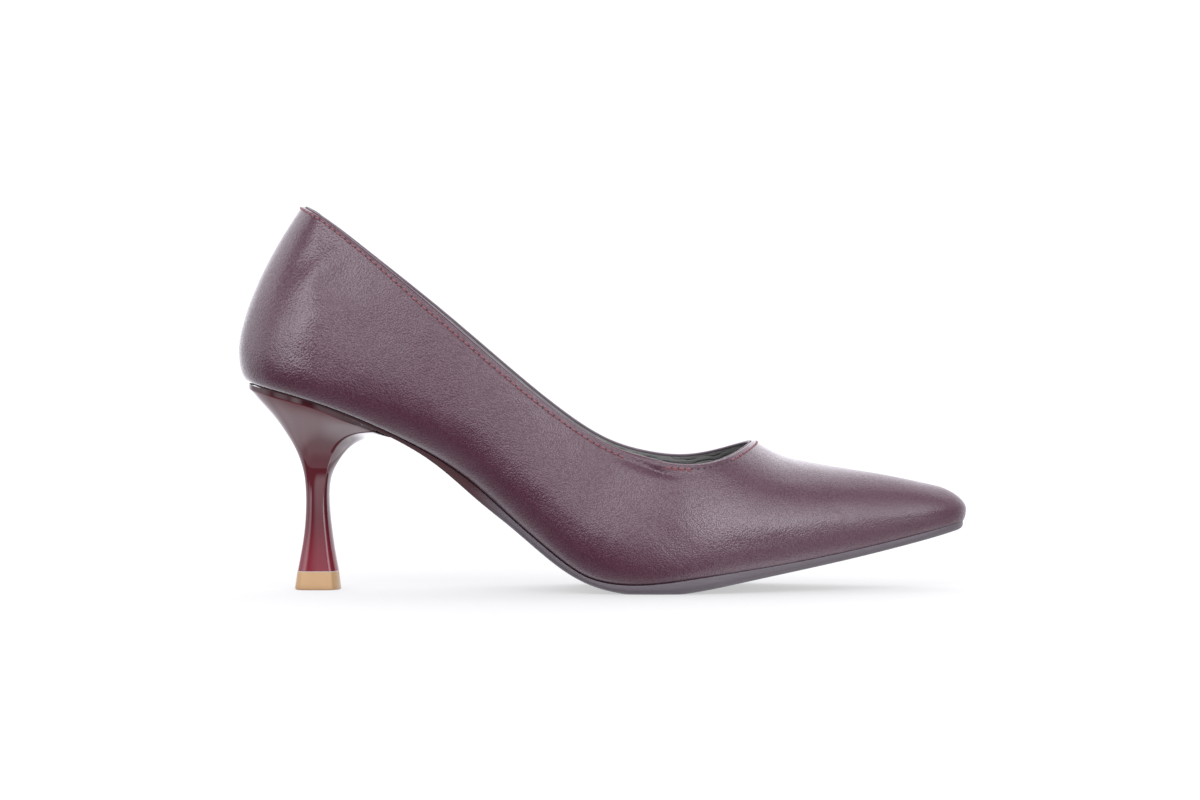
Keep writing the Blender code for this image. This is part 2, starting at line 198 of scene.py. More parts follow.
RIDGE = (
    Ridge(0, 86.0),
    Ridge(20, 73.4),
    Ridge(38, 62.2),
    Ridge(53.4, 52.2),
    Ridge(58, 49.5),
    Ridge(63.5, 46.8),
    Ridge(72, 44.5),
    Ridge(84.6, 42.2),
    Ridge(100, 39.6),
    Ridge(117, 36.0),
)
print("last: tables of", len(BOTTOM), len(GIRTH), len(COLLAR), len(RIDGE), "rows")


# %% Smooth runs through the tables
def spline(xs, ys):
    """A natural cubic spline through the points, for arrays, running straight on past both ends."""
    xs, ys = np.asarray(xs, float), np.asarray(ys, float)
    span = np.diff(xs)
    slope = np.diff(ys) / span
    count = len(xs)
    system, bend = np.eye(count), np.zeros(count)
    for i in range(1, count - 1):
        system[i, i - 1 : i + 2] = span[i - 1], 2 * (span[i - 1] + span[i]), span[i]
        bend[i] = 6 * (slope[i] - slope[i - 1])
    curvature = np.linalg.solve(system, bend)

    def value(x):
        x = np.asarray(x, float)
        i = np.clip(np.searchsorted(xs, x) - 1, 0, count - 2)
        inside = np.clip(x, xs[0], xs[-1])
        a, b, step = xs[i + 1] - inside, inside - xs[i], span[i]
        first, second = curvature[i], curvature[i + 1]
        curve = (first * a**3 + second * b**3) / (6 * step)
        line = (ys[i] / step - first * step / 6) * a + (ys[i + 1] / step - second * step / 6) * b
        pull = second * (3 * b**2 - step**2) - first * (3 * a**2 - step**2)
        tilt = slope[i] + pull / (6 * step)
        return curve + line + tilt * (x - inside)

    return value


def column(table, name):
    """The smooth run of one column of a table along the shoe."""
    return spline([row.x for row in table], [getattr(row, name) for row in table])


bottom_z, sole_thickness = (column(BOTTOM, name) for name in ("z", "sole"))
swing, belly_up = (column(GIRTH, name) for name in ("swing", "belly_up"))
feather_half = {OUTER: column(GIRTH, "feather_out"), INNER: column(GIRTH, "feather_in")}
belly_half = {OUTER: column(GIRTH, "belly_out"), INNER: column(GIRTH, "belly_in")}
collar_z = {OUTER: column(COLLAR, "z_out"), INNER: column(COLLAR, "z_in")}
collar_half, collar_corner = (column(COLLAR, name) for name in ("half", "corner"))
ridge_z = column(RIDGE, "z")


def ramp(value, start, end):
    """A soft step from 0 at start to 1 at end."""
    share = np.clip((value - start) / (end - start), 0, 1)
    return share * share * (3 - 2 * share)


def swell(value, start, full, fade, end):
    """A soft band: 0 up to start, 1 from full to fade, and 0 again from end."""
    return ramp(value, start, full) * (1 - ramp(value, fade, end))


def points_of(x, y, z):
    return np.stack(np.broadcast_arrays(x, y, z), axis=-1)


print("collar over the ball:", round(float(collar_z[OUTER](17)), 1), "mm")

# %% [markdown]
# ## Ribs and walls
# The upper is cut into ribs that stand across the shoe and fan out round the toe and the heel.
# Each rib starts under the foot, rounds the sole's edge, swells to its widest line and climbs to
# the collar or, on the vamp, to the ridge.  Two Bezier curves make that shape.  Working on whole
# arrays of ribs with numpy lets us use hundreds of them and still build in a moment.


# %% Ribs along one side
class Ribs(NamedTuple):
    """Where ribs stand at their three heights; closing falls from 1 to 0 round the toe and heel."""

    feather_x: np.ndarray
    belly_x: np.ndarray
    top_x: np.ndarray
    closing: np.ndarray


def fan(angles, start, tips):
    """Ribs round one end of the shoe, from its side at 0 to its tip at a quarter turn."""
    reach = np.sin(angles)
    return Ribs(*(start + (tip - start) * reach for tip in tips), np.cos(angles))


def straight(xs):
    return Ribs(xs, xs, xs, np.ones_like(xs))


def side_ribs(toe, vamp, throat, quarter, heel):
    """Ribs of one side, from the toe's tip round to the back, with a count for each stretch."""
    turn = math.pi / 2

    def run(first, last, count):
        return np.linspace(first, last, count, endpoint=False)

    crowded = THROAT_START + (THROAT_POINT - THROAT_START) * np.sin(run(turn, 0, throat))
    stretches = (
        fan(run(turn, 0, toe), TOE_START, TOE_TIPS),
        straight(run(TOE_START, THROAT_POINT, vamp)),
        straight(crowded),
        straight(run(THROAT_START, HEEL_START, quarter)),
        fan(np.linspace(0, turn, heel + 1), HEEL_START, HEEL_BACKS),
    )
    return Ribs(*(np.concatenate(parts) for parts in zip(*stretches)))


def bezier(start, corner, end, fullness, shares):
    """Points at shares of curves from start to end that turn near corner, a row for each curve."""
    first = (start + fullness * (corner - start))[:, None]
    second = (end + fullness * (corner - end))[:, None]
    t = shares[..., None]
    s = 1 - t
    first_part = s**3 * start[:, None] + 3 * s * s * t * first
    return first_part + 3 * s * t * t * second + t**3 * end[:, None]


HALVINGS = 40  # each one halves the span in which the cut is looked for


def cut_at(height, start, corner, end):
    """How far along each rising curve of the wall its height is reached."""
    low, high = np.zeros(len(start)), np.ones(len(start))
    for _ in range(HALVINGS):
        middle = (low + high) / 2
        below = bezier(start, corner, end, VAMP_FULLNESS, middle[:, None])[:, 0, 2] < height
        low, high = np.where(below, middle, low), np.where(below, high, middle)
    return high


def upper_wall(side, belly, ribs, shares):
    """The wall above the widest line: the round of the last, blended into the quarters."""
    x = ribs.top_x
    ridge = points_of(x, swing(x), ridge_z(x))
    slope = ridge_z(x + 0.5) - ridge_z(x - 0.5)
    over = points_of(belly[:, 0], belly[:, 1], ridge[:, 2] + slope * (belly[:, 0] - x))
    end = np.where(x > VAMP_FROM, 1, cut_at(collar_z[side](x), belly, over, ridge))
    last = bezier(belly, over, ridge, VAMP_FULLNESS, end[:, None] * shares)

    collar = points_of(x, swing(x) + side * collar_half(x) * ribs.closing, collar_z[side](x))
    bend = belly.copy()
    bend[:, 2] += collar_corner(x) * (collar[:, 2] - belly[:, 2])
    quarter = bezier(belly, bend, collar, QUARTER_FULLNESS, np.broadcast_to(shares, last.shape[:2]))
    share = ramp(x, QUARTER_START, THROAT_START)
    return quarter + share[:, None, None] * (last - quarter)


def pulled_in(ribs, inset):
    """X of the ribs' feet, moved in by inset where they fan round the toe and the heel."""
    x = ribs.feather_x
    start = np.where(x > 0, TOE_START, HEEL_START)
    tip = np.where(x > 0, TOE_TIPS[0], HEEL_BACKS[0])
    pulled = start + (x - start) * (1 - inset / np.abs(tip - start))
    return np.where(ribs.closing < 1, pulled, x)


def wall_grid(side, ribs, edge_rows, lower_rows, upper_rows):
    """One side of the upper as a grid of points: a row for each rib, from the turned edge up."""
    x = ribs.feather_x
    floor = bottom_z(x)
    feather = points_of(x, swing(x) + side * feather_half[side](x) * ribs.closing, floor)
    wide = ribs.belly_x
    belly_y = swing(wide) + side * belly_half[side](wide) * ribs.closing
    belly = points_of(wide, belly_y, floor + belly_up(wide))

    inside = pulled_in(ribs, TURNED_EDGE)
    half = feather_half[side](inside)
    half = np.maximum(half - TURNED_EDGE, TURNED_SHARE * half)
    turned = points_of(inside, swing(inside) + side * half * ribs.closing, bottom_z(inside))

    along = np.linspace(0, 1, edge_rows, endpoint=False)[:, None]
    edge = turned[:, None] + (feather - turned)[:, None] * along
    round_up = np.broadcast_to(np.linspace(0, 1, lower_rows, endpoint=False), (len(x), lower_rows))
    lower = bezier(feather, points_of(wide, belly_y, floor), belly, LOWER_FULLNESS, round_up)
    climb = np.linspace(0, 1, upper_rows + 1)
    crowded = 0.6 * climb + 0.4 * np.sin(climb * math.pi / 2)  # closer rows towards the collar
    upper = upper_wall(side, belly, ribs, crowded)
    return np.concatenate([edge, lower, upper], axis=1)


FINE_RIBS = dict(toe=22, vamp=72, throat=40, quarter=110, heel=40)
FINE_ROWS = dict(edge_rows=3, lower_rows=10, upper_rows=48)
print("fine ribs on one side:", len(side_ribs(**FINE_RIBS).closing))


# %% The skin of the last as one surface
class Skin(NamedTuple):
    """An open surface: its points, its four-cornered faces, and its collar and lower edge loops."""

    points: np.ndarray
    faces: np.ndarray
    collar: np.ndarray
    hem: np.ndarray


def last_skin(ribs, rows, first_row=0):
    """Both sides of the upper joined round the heel, round the toe and along the ridge."""
    grid = [wall_grid(side, ribs, **rows)[:, first_row:] for side in (OUTER, INNER)]
    ring = np.concatenate([grid[0], grid[1][-2:0:-1]])
    around, height = ring.shape[:2]
    count = len(ribs.closing)
    names = np.arange(around * height).reshape(around, height)
    vamp = np.flatnonzero(ribs.top_x > VAMP_FROM)
    throat = vamp[-1]
    names[2 * count - 2 - vamp[1:], -1] = names[vamp[1:], -1]

    after = np.roll(names, -1, axis=0)
    corners = (names[:, :-1], names[:, 1:], after[:, 1:], after[:, :-1])
    faces = np.stack(corners, axis=-1).reshape(-1, 4)
    used, faces = np.unique(faces, return_inverse=True)
    place = np.searchsorted(used, names)
    collar = place[throat : 2 * count - 2 - throat, -1]
    return Skin(ring.reshape(-1, 3)[used], faces.reshape(-1, 4), collar, place[:, 0])


def skin_normals(skin):
    """The outward direction at each point of a skin."""
    corners = skin.points[skin.faces]
    across = np.cross(corners[:, 2] - corners[:, 0], corners[:, 3] - corners[:, 1])
    total = np.zeros_like(skin.points)
    for i in range(4):
        np.add.at(total, skin.faces[:, i], across)
    return total / np.linalg.norm(total, axis=1)[:, None]


def centred(points):
    """Points of the tables brought to the frame of the solids, in the middle of their box."""
    return points + row_shift


row_shift = np.zeros(3)
fine_skin = last_skin(side_ribs(**FINE_RIBS), FINE_ROWS)
row_shift[:2] = -(fine_skin.points.min(axis=0) + fine_skin.points.max(axis=0))[:2] / 2
fine_skin = fine_skin._replace(points=centred(fine_skin.points))
print("skin:", len(fine_skin.points), "points, moved by", row_shift.round(2), "mm")

# %% [markdown]
# ## Soft dents and creases
# Leather over a last is never quite even.  The photo's shoe has a hollow beside the back edge,
# a dark crease under the collar where the foot bends, and faint lines that fan across the ball.
# They are real form, so they go into the mesh and not into a bump texture: each row of a table
# pushes the surface in or out as a soft, long dune.  The grain comes later, as bump.


# %% Place the dents
class Dune(NamedTuple):
    """A soft trough or ridge on one side: its middle, lie, size and height in millimetres."""

    x: float
    z: float
    angle: float
    length: float
    width: float
    height: float
    side: int = OUTER


DUNE_FADE = 10.0  # a dune comes in over this distance from the middle of the shoe
DUNES = (
    # The hollow beside the back edge, and the ridges and hollows of the counter.
    Dune(-102.5, 116.5, 48, 24, 8, -0.55),
    Dune(-100.0, 112.5, 44, 22, 9, 0.55),
    Dune(-98.0, 97.5, 12, 26, 12, 0.70),
    Dune(-104.0, 82.0, -14, 26, 9, -0.35),
    Dune(-84.0, 97.0, -38, 42, 14, -0.40),
    Dune(-62.0, 86.0, -40, 40, 16, 0.25),
    # The crease under the collar, where the foot bends.
    Dune(14.0, 45.4, -20, 22, 3.8, -0.85),
    Dune(19.0, 43.2, -20, 9, 1.9, -0.35),
    Dune(18.0, 46.2, -14, 12, 2.6, 0.22),
    Dune(10.5, 42.6, -20, 22, 5.0, 0.20),
    Dune(26.0, 42.6, -6, 11, 3.0, -0.25),
    # Faint lines across the ball, and one on the toe.
    Dune(16.0, 24.0, -52, 26, 5.0, -0.16),
    Dune(22.0, 21.0, -52, 24, 4.5, -0.16),
    Dune(28.0, 18.5, -50, 20, 4.5, -0.14),
    Dune(84.5, 27.6, -38, 10, 4.0, -0.18),
    # The same bend on the inner side.
    Dune(12.0, 42.0, -15, 18, 4.5, -0.40, INNER),
    Dune(18.0, 22.0, -50, 24, 5.0, -0.14, INNER),
)


def dune_heights(points):
    """How far each point is pushed out by all the dunes."""
    total = np.zeros(len(points))
    for dune in DUNES:
        turn = math.radians(dune.angle)
        dx, dz = points[:, 0] - dune.x, points[:, 2] - dune.z
        along = (dx * math.cos(turn) + dz * math.sin(turn)) / (dune.length / 2)
        across = (dz * math.cos(turn) - dx * math.sin(turn)) / (dune.width / 2)
        near_side = ramp(dune.side * points[:, 1], 0, DUNE_FADE)
        total += dune.height * near_side * np.exp(-(along**2) - across**2)
    return total


def dented(skin):
    """The skin with its dents pressed in, square to the surface."""
    push = skin_normals(skin) * dune_heights(skin.points)[:, None]
    return skin._replace(points=skin.points + push)


fine_skin = dented(fine_skin)
print("dents:", len(DUNES))

# %% [markdown]
# ## The collar's edge
# At the collar the leather is turned over and pressed, so the edge is round and not cut square.
# We need a small frame at every point of the collar: along the edge, out of the wall, and up past
# the edge.  The skin is first drawn down a little so that the rounding ends where the solid ends.


# %% A frame along the collar
class Edge(NamedTuple):
    """The collar loop: its points, the way out of the wall, and the way up past the edge."""

    points: np.ndarray
    out: np.ndarray
    up: np.ndarray


def collar_edge(skin):
    points, out = skin.points[skin.collar], skin_normals(skin)[skin.collar]
    along = np.roll(points, -1, axis=0) - np.roll(points, 1, axis=0)
    up = np.cross(along, out)
    up /= np.linalg.norm(up, axis=1)[:, None]
    upwards = np.sign(up[len(up) // 2, 2])
    return Edge(points, out, up * upwards)


def point_tree(points):
    """A search tree that finds the nearest of some points."""
    tree = KDTree(len(points))
    for i, point in enumerate(points):
        tree.insert(point, i)
    tree.balance()
    return tree


def finer(loop, steps=24):
    """A closed loop of rows with straight steps from each row to the next."""
    shares = np.arange(steps)[:, None, None] / steps
    return (loop + shares * (np.roll(loop, -1, axis=0) - loop)).reshape(-1, 3)


def below_collar(skin):
    """How far each point lies from the collar, and the way up past the edge nearest to it."""
    edge = collar_edge(skin)
    tree = point_tree(finer(edge.points))
    found = [tree.find(point) for point in skin.points]
    return np.array([hit[2] for hit in found]), finer(edge.up)[[hit[1] for hit in found]]


def drawn_down(skin, amount, reach=8.0):
    """The skin with its collar moved down by amount; the pull fades out over reach."""
    distance, up = below_collar(skin)
    pull = amount * np.clip(1 - distance / reach, 0, 1)
    return skin._replace(points=skin.points - up * pull[:, None])


LEATHER = 1.0  # the turned leather at the collar, without the lining
upper_skin = drawn_down(fine_skin, LEATHER / 2)
print("collar loop:", len(upper_skin.collar), "points")

# %% [markdown]
# ## From skins to solids
# A thin wall can be thickened with the Solidify modifier.  Here the wall has a rounded edge on one
# loop and a plain edge on the other, so a short function does it: the skin, a copy moved inwards,
# and rings of points that carry the one over into the other.


# %% Thicken a skin
SMOOTH_ANGLE = math.radians(50)  # edges sharper than this stay crisp


def new_piece(name, points, faces):
    """A mesh object from points in millimetres and faces."""
    mesh = bpy.data.meshes.new(name)
    mesh.from_pydata((np.asarray(points) * MM).tolist(), [], faces)
    mesh.validate()
    mesh.shade_smooth()
    mesh.set_sharp_from_angle(angle=SMOOTH_ANGLE)
    piece = bpy.data.objects.new(name, mesh)
    bpy.context.scene.collection.objects.link(piece)
    return piece


def mark(piece, name, values):
    """Stores a number at every point of the piece, for its finish to read."""
    piece.data.attributes.new(name, "FLOAT", "POINT").data.foreach_set("value", values)


def mark_distance(piece, name, line):
    """Marks every point of the piece with its distance in millimetres from a line of points."""
    tree = point_tree([Vector(point) * MM for point in line])
    mark(piece, name, [tree.find(vertex.co)[2] / MM for vertex in piece.data.vertices])


def strip(first, second):
    """Faces between two closed loops of equally many points."""
    return np.stack([first, second, np.roll(second, -1), np.roll(first, -1)], axis=-1)


def solid_from(name, skin, outside, inside, rim_steps):
    """A closed wall between two depths under a skin, with a half-round rim along the collar."""
    out = skin_normals(skin)
    outer, inner = skin.points - out * outside, skin.points - out * inside
    count = len(outer)
    edge = collar_edge(skin)
    radius = (inside - outside) / 2
    points, loops = [outer, inner], [skin.collar]
    for step in range(1, rim_steps):
        angle = math.pi * step / rim_steps
        depth = outside + radius * (1 - math.cos(angle))
        points.append(edge.points - edge.out * depth + edge.up * radius * math.sin(angle))
        loops.append(2 * count + (step - 1) * len(edge.points) + np.arange(len(edge.points)))
    loops.append(skin.collar + count)
    faces = [skin.faces, skin.faces[:, ::-1] + count]
    faces += [strip(low, high) for low, high in zip(loops, loops[1:])]
    faces.append(strip(skin.hem + count, skin.hem))
    return new_piece(name, np.concatenate(points), np.concatenate(faces).tolist())


upper = solid_from("upper_leather", upper_skin, 0.0, LEATHER, rim_steps=10)
print("upper:", len(upper.data.polygons), "faces")

# %% [markdown]
# ## Lining and binding
# Inside the leather lies a charcoal lining.  Between the two, a narrow mauve binding stands a
# little past the leather's edge, which is why the photo shows a pale lip along the near side.
# The lining could be a plain copy of the leather, but the real one wrinkles where it is cut.  So
# it is the same skin at another depth, ruffled by a few ridges that run along the opening.  The
# binding is a small rounded profile carried round the collar's frame, because a sweep keeps its
# thickness even on the tight bend at the throat.

# %% The lining
LINING_RIBS = dict(toe=14, vamp=44, throat=30, quarter=72, heel=26)
LINING_ROWS = dict(edge_rows=2, lower_rows=8, upper_rows=40)
LINING_FIRST_ROW = 3  # the rows below lie under the insole
LINING_TOP = 0.15  # how far below the collar the lining starts
LINING_DEPTHS = (1.08, 1.75)
LINING_PULL = 14.0  # below the collar, the stretch over which it is drawn down to that start
RUFFLE_PITCH, RUFFLE_HEIGHT = 2.3, 0.3
RUFFLED_ALONG = (-45, -5, 60, 75)  # where the ruffles come in and fade, along X
RUFFLED_BELOW = (1, 3, 8, 13)  # and below the collar


def ruffled(skin):
    """The lining's skin with ridges that follow the collar in the front half of the opening."""
    below, _ = below_collar(skin)
    x = skin.points[:, 0]
    # Two waves of different length keep the ridges from running quite parallel.
    waver = 0.9 * np.sin(x / 7.0) + 0.5 * np.sin(x / 2.9 + skin.points[:, 1])
    wave = np.cos(2 * math.pi * (below + waver * 0.45) / RUFFLE_PITCH)
    height = RUFFLE_HEIGHT * wave * swell(x, *RUFFLED_ALONG) * swell(below, *RUFFLED_BELOW)
    push = skin_normals(skin) * height[:, None]
    return skin._replace(points=skin.points + push)


lining_skin = last_skin(side_ribs(**LINING_RIBS), LINING_ROWS, LINING_FIRST_ROW)
lining_skin = dented(lining_skin._replace(points=centred(lining_skin.points)))
lining_skin = ruffled(drawn_down(lining_skin, LINING_TOP, LINING_PULL))
lining = solid_from("lining", lining_skin, *LINING_DEPTHS, rim_steps=4)
mark_distance(lining, "below", upper_skin.points[upper_skin.collar])
print("lining:", len(lining.data.polygons), "faces")

# %% The binding along the collar
BINDING_DEPTHS = (1.05, 1.85)  # into the wall, from the skin of the leather
BINDING_TOP, BINDING_FOOT = 0.85, 0.25  # above the collar's edge
BINDING_CORNER = 0.25
BINDING_ARC = 8


def binding_profile():
    """The binding's cut, as pairs of depth into the wall and height past the collar's edge."""
    near, far = BINDING_DEPTHS
    radius = (far - near) / 2
    angles = (math.pi * i / BINDING_ARC for i in range(BINDING_ARC + 1))
    arc = [(near + radius * (1 - math.cos(a)), BINDING_TOP + radius * math.sin(a)) for a in angles]
    corner = [(far, BINDING_FOOT + BINDING_CORNER), (far - BINDING_CORNER, BINDING_FOOT)]
    return arc + corner + [(near, BINDING_FOOT)]


def swept(name, edge, profile):
    """A closed profile carried round the collar."""
    loops = [edge.points - edge.out * depth + edge.up * height for depth, height in profile]
    count = len(edge.points)
    rows = [i * count + np.arange(count) for i in range(len(profile))]
    faces = [strip(row, after) for row, after in zip(rows, rows[1:] + rows[:1])]
    return closed(new_piece(name, np.concatenate(loops), np.concatenate(faces).tolist()))


def closed(piece):
    """A closed piece with its faces turned to point outwards."""
    bm = bmesh.new()
    bm.from_mesh(piece.data)
    bmesh.ops.recalc_face_normals(bm, faces=bm.faces)
    bm.to_mesh(piece.data)
    bm.free()
    return piece


profile = binding_profile()
binding = swept("collar_facing", collar_edge(upper_skin), profile)
painted_fold_shade = np.zeros((len(profile), len(upper_skin.collar)), np.float32)
# the faces against the leather take the painted shade of the fold
painted_fold_shade[[0, -1]] = 1  # the face that stands against the leather
mark(binding, "painted_fold_shade", painted_fold_shade.ravel())
print("binding:", len(binding.data.polygons), "faces")

# %% [markdown]
# ## Sole and insole
# Both are flat bodies with a rounded edge that follow the last's edge line.  A body can be stacked
# from level outlines: each level is the edge line moved in by its own amount and set at its own
# share of the thickness.  The first and last levels are closed with strips across the shoe.

# %% Stacked outlines
SOLE_RIBS = dict(toe=20, vamp=40, throat=14, quarter=70, heel=26)
LEAST_HALF = 0.5  # no outline gets narrower than this on either side


def lifted(x, distance):
    """The height of a line that runs at a distance above the edge line, square to its slope."""
    slope = bottom_z(x + 0.5) - bottom_z(x - 0.5)
    return bottom_z(x) + distance * np.hypot(1, slope)


def plan_line(side, inset, ribs):
    """The edge line from above, moved in by inset: X and Y at each rib."""
    x = pulled_in(ribs, inset(ribs.feather_x))
    half = np.maximum(feather_half[side](x) - inset(x), LEAST_HALF)
    return x, swing(x) + side * half * ribs.closing


def outline(inset, height, ribs):
    """A closed loop of points: the outer side from toe to heel, and the inner side back."""
    loops = []
    for side, part in ((OUTER, slice(None)), (INNER, slice(-2, 0, -1))):
        x, y = plan_line(side, inset, ribs)
        loops.append(points_of(x, y, height(x))[part])
    return centred(np.concatenate(loops))


def cover(loop):
    """Strips that close a loop, running across between its two sides."""
    count = len(loop)
    faces = []
    for i in range(count // 2):
        corners = (loop[i], loop[i + 1], loop[(count - i - 1) % count], loop[(count - i) % count])
        faces.append(list(dict.fromkeys(int(corner) for corner in corners)))
    return faces


def stack(name, levels):
    """A closed body from loops of equally many points, lowest first."""
    count = len(levels[0])
    rows = [i * count + np.arange(count) for i in range(len(levels))]
    faces = [face for low, high in zip(rows, rows[1:]) for face in strip(low, high).tolist()]
    faces += cover(rows[0]) + cover(rows[-1])
    return closed(new_piece(name, np.concatenate(levels), faces))


# %% The outsole
SEAT_INSET, SOLE_STAND = 1.3, 0.9  # inside the edge line over the heel, and past it further on
SEAT_TO_STAND = (-82.0, -52.0)  # where along X the one goes over into the other
TOE_CUP = 0.4  # how far the sole comes up round the edge of the toe
TOE_CUP_START = (20.0, 60.0)


def sole_inset(x):
    """The sole stands out past the edge line ahead of the heel, and lies just inside it above."""
    return SEAT_INSET - (SEAT_INSET + SOLE_STAND) * ramp(x, *SEAT_TO_STAND)


class SoleLevel(NamedTuple):
    """One line round the sole's edge: how far in it lies and at which share of the thickness."""

    inset: float
    share: float


SOLE_LEVELS = (
    SoleLevel(9.0, 1.0),
    SoleLevel(4.6, 1.0),
    SoleLevel(2.6, 0.995),
    SoleLevel(1.5, 0.955),
    SoleLevel(0.75, 0.86),
    SoleLevel(0.3, 0.72),
    SoleLevel(0.06, 0.55),
    SoleLevel(0.0, 0.40),
    SoleLevel(0.0, 0.24),
    SoleLevel(0.0, 0.1),
    SoleLevel(0.0, 0.0),
    SoleLevel(0.06, -0.04),
    SoleLevel(0.5, -0.1),
    SoleLevel(4.0, -0.1),
)


def sole_height(x, share):
    top = lifted(x, TOE_CUP * ramp(x, *TOE_CUP_START) - GAP)
    low = np.maximum(lifted(x, -GAP - sole_thickness(x)), 0.0)
    return top + share * (low - top)


def make_outsole():
    ribs = side_ribs(**SOLE_RIBS)
    levels = []
    for inset, share in SOLE_LEVELS:
        line = outline(lambda x: sole_inset(x) + inset, lambda x: sole_height(x, share), ribs)
        levels.append(line)
    piece = stack("outsole_moulded", levels)
    shares = np.repeat([level.share for level in SOLE_LEVELS], len(levels[0]))
    mark(piece, "seam", (1 - shares).astype(np.float32))
    return piece


outsole = make_outsole()
print("outsole:", len(outsole.data.polygons), "faces")


# %% The insole
class SockLevel(NamedTuple):
    """One line round the insole: how far in it lies and its height above the edge line."""

    inset: float
    lift: float


INSOLE_FOOT = WALL + GAP
SOCK_LEVELS = (
    SockLevel(2.6, INSOLE_FOOT),
    SockLevel(1.4, INSOLE_FOOT + 0.2 * INSOLE_THICKNESS),
    SockLevel(0.4, INSOLE_FOOT + 0.5 * INSOLE_THICKNESS),
    SockLevel(-0.1, INSOLE_FOOT + 0.72 * INSOLE_THICKNESS),
    SockLevel(0.1, INSOLE_FOOT + 0.9 * INSOLE_THICKNESS),
    SockLevel(0.8, INSOLE_FOOT + 0.99 * INSOLE_THICKNESS),
    SockLevel(2.4, INSOLE_FOOT + INSOLE_THICKNESS),
    SockLevel(5.0, INSOLE_FOOT + 0.97 * INSOLE_THICKNESS),
)


def make_insole():
    ribs = side_ribs(**SOLE_RIBS)
    levels = []
    for inset, lift in SOCK_LEVELS:
        line = outline(lambda x: np.full_like(x, inset), lambda x: lifted(x, lift), ribs)
        levels.append(line)
    return stack("insole_sock", levels)


insole = make_insole()
print("insole:", len(insole.data.polygons), "faces")

# %% [markdown]
# ## Heel and top piece
# The heel is moulded plastic under lacquer: a slim stem that flares to its tip and opens out under
# the seat, with an upright strip along its top edge that comes up a little round the sole.  It
# could be pulled out of a cylinder, but its cuts change shape on the way up.  So a table gives
# cuts through it, each with a round back, straight sides and a swelling breast, and a spline
# carries the cuts into one another.  On the real heel the corner between side and breast is
# eased by the lacquer and catches the light, so each cut rounds that corner.


# %% Cuts through the heel
class HeelSection(NamedTuple):
    """A cut through the heel: its back point, the corner of its side, and its rounded breast."""

    back_x: float
    back_z: float
    corner_x: float
    corner_z: float
    breast_x: float
    half: float
    back_power: float


HEEL = (
    HeelSection(-105.9, 6.6, -94.2, 6.6, -91.3, 6.6, 4.0),
    HeelSection(-104.7, 13.0, -95.0, 13.0, -92.5, 6.1, 4.0),
    HeelSection(-103.5, 21.0, -95.8, 21.2, -93.7, 5.5, 3.8),
    HeelSection(-103.0, 30.0, -96.4, 30.3, -94.5, 4.9, 3.4),
    HeelSection(-103.4, 38.2, -96.0, 38.6, -94.0, 4.9, 3.0),
    HeelSection(-104.8, 44.4, -94.8, 44.6, -91.5, 6.3, 2.7),
    HeelSection(-107.2, 50.0, -92.6, 49.8, -87.4, 9.0, 2.5),
    HeelSection(-110.6, 55.4, -89.6, 53.2, -82.6, 13.0, 2.4),
    HeelSection(-114.6, 60.8, -86.0, 55.2, -78.8, 17.2, 2.3),
    HeelSection(-119.4, 66.4, -82.4, 56.2, -75.4, 20.8, 2.2),
    HeelSection(-122.9, 70.9, -79.4, 56.7, -73.0, 23.2, 2.1),
)
WIDEST_SHARE = 0.56  # how far from the back to the corner a cut is widest
CORNER_SHARE = 0.95  # its half width at the corner, as a share of the widest
CRISP_CORNER, SOFT_CORNER = 0.25, 1.0  # the rounding of the corner above and on the stem
STEM_END = (24.0, 42.0)  # the heights between which the stem goes over into the flare
BACK_STEPS, SIDE_STEPS, ROUND_STEPS, BREAST_STEPS = 26, 14, 8, 14


def corner_reach(z):
    """How far the corner between side and breast is rounded: soft on the stem, crisp above."""
    return CRISP_CORNER + (SOFT_CORNER - CRISP_CORNER) * (1 - ramp(z, *STEM_END))


def heel_outline(section):
    """One half of a cut through the heel from above: the back, the side, the corner, the breast."""
    back, corner, half = section.back_x, section.corner_x, section.half
    widest_x = back + WIDEST_SHARE * (corner - back)
    corner_half = CORNER_SHARE * half
    bulge = section.breast_x - corner
    reach = corner_reach(section.back_z)

    angles = np.linspace(0, math.pi / 2, BACK_STEPS, endpoint=False)
    power = 2 / section.back_power
    back_x = widest_x - (widest_x - back) * np.cos(angles) ** power
    round_back = points_of(back_x, half * np.sin(angles) ** power, 0)
    share = np.linspace(0, 1 - reach / (corner - widest_x), SIDE_STEPS + 1)
    side = points_of(widest_x + share * (corner - widest_x), half + share * (corner_half - half), 0)
    share = np.linspace(1 - reach / math.hypot(2 * bulge, corner_half), 0, BREAST_STEPS + 1)
    breast = points_of(corner + bulge * (1 - share * share), corner_half * share, 0)
    t = np.linspace(0, 1, ROUND_STEPS, endpoint=False)[:, None]
    tip = np.array([corner, corner_half, 0])
    rounded = (1 - t) ** 2 * side[-1] + 2 * t * (1 - t) * tip + t**2 * breast[0]
    half_loop = np.concatenate([round_back, side[:-1], rounded, breast])
    return half_loop[:, 0], half_loop[:, 1]


def heel_seat_z(x):
    """The height of the heel's top face, under the outsole."""
    return lifted(x, -sole_thickness(x) - 2 * GAP)


def heel_ring(section, settle):
    """One whole cut; settle runs from 0 at the tip to 1 at the seat, which follows the sole."""
    back, corner = section.back_x, section.corner_x
    x, y = heel_outline(section)
    x, y = np.concatenate([x, x[-2:0:-1]]), np.concatenate([y, -y[-2:0:-1]])
    share = (x - back) / (corner - back)
    z = section.back_z + share * (section.corner_z - section.back_z)
    chord = heel_seat_z(back) + share * (heel_seat_z(corner) - heel_seat_z(back))
    return centred(points_of(x, y, z + settle**2 * (heel_seat_z(x) - chord)))


print("heel: a table of", len(HEEL), "cuts")


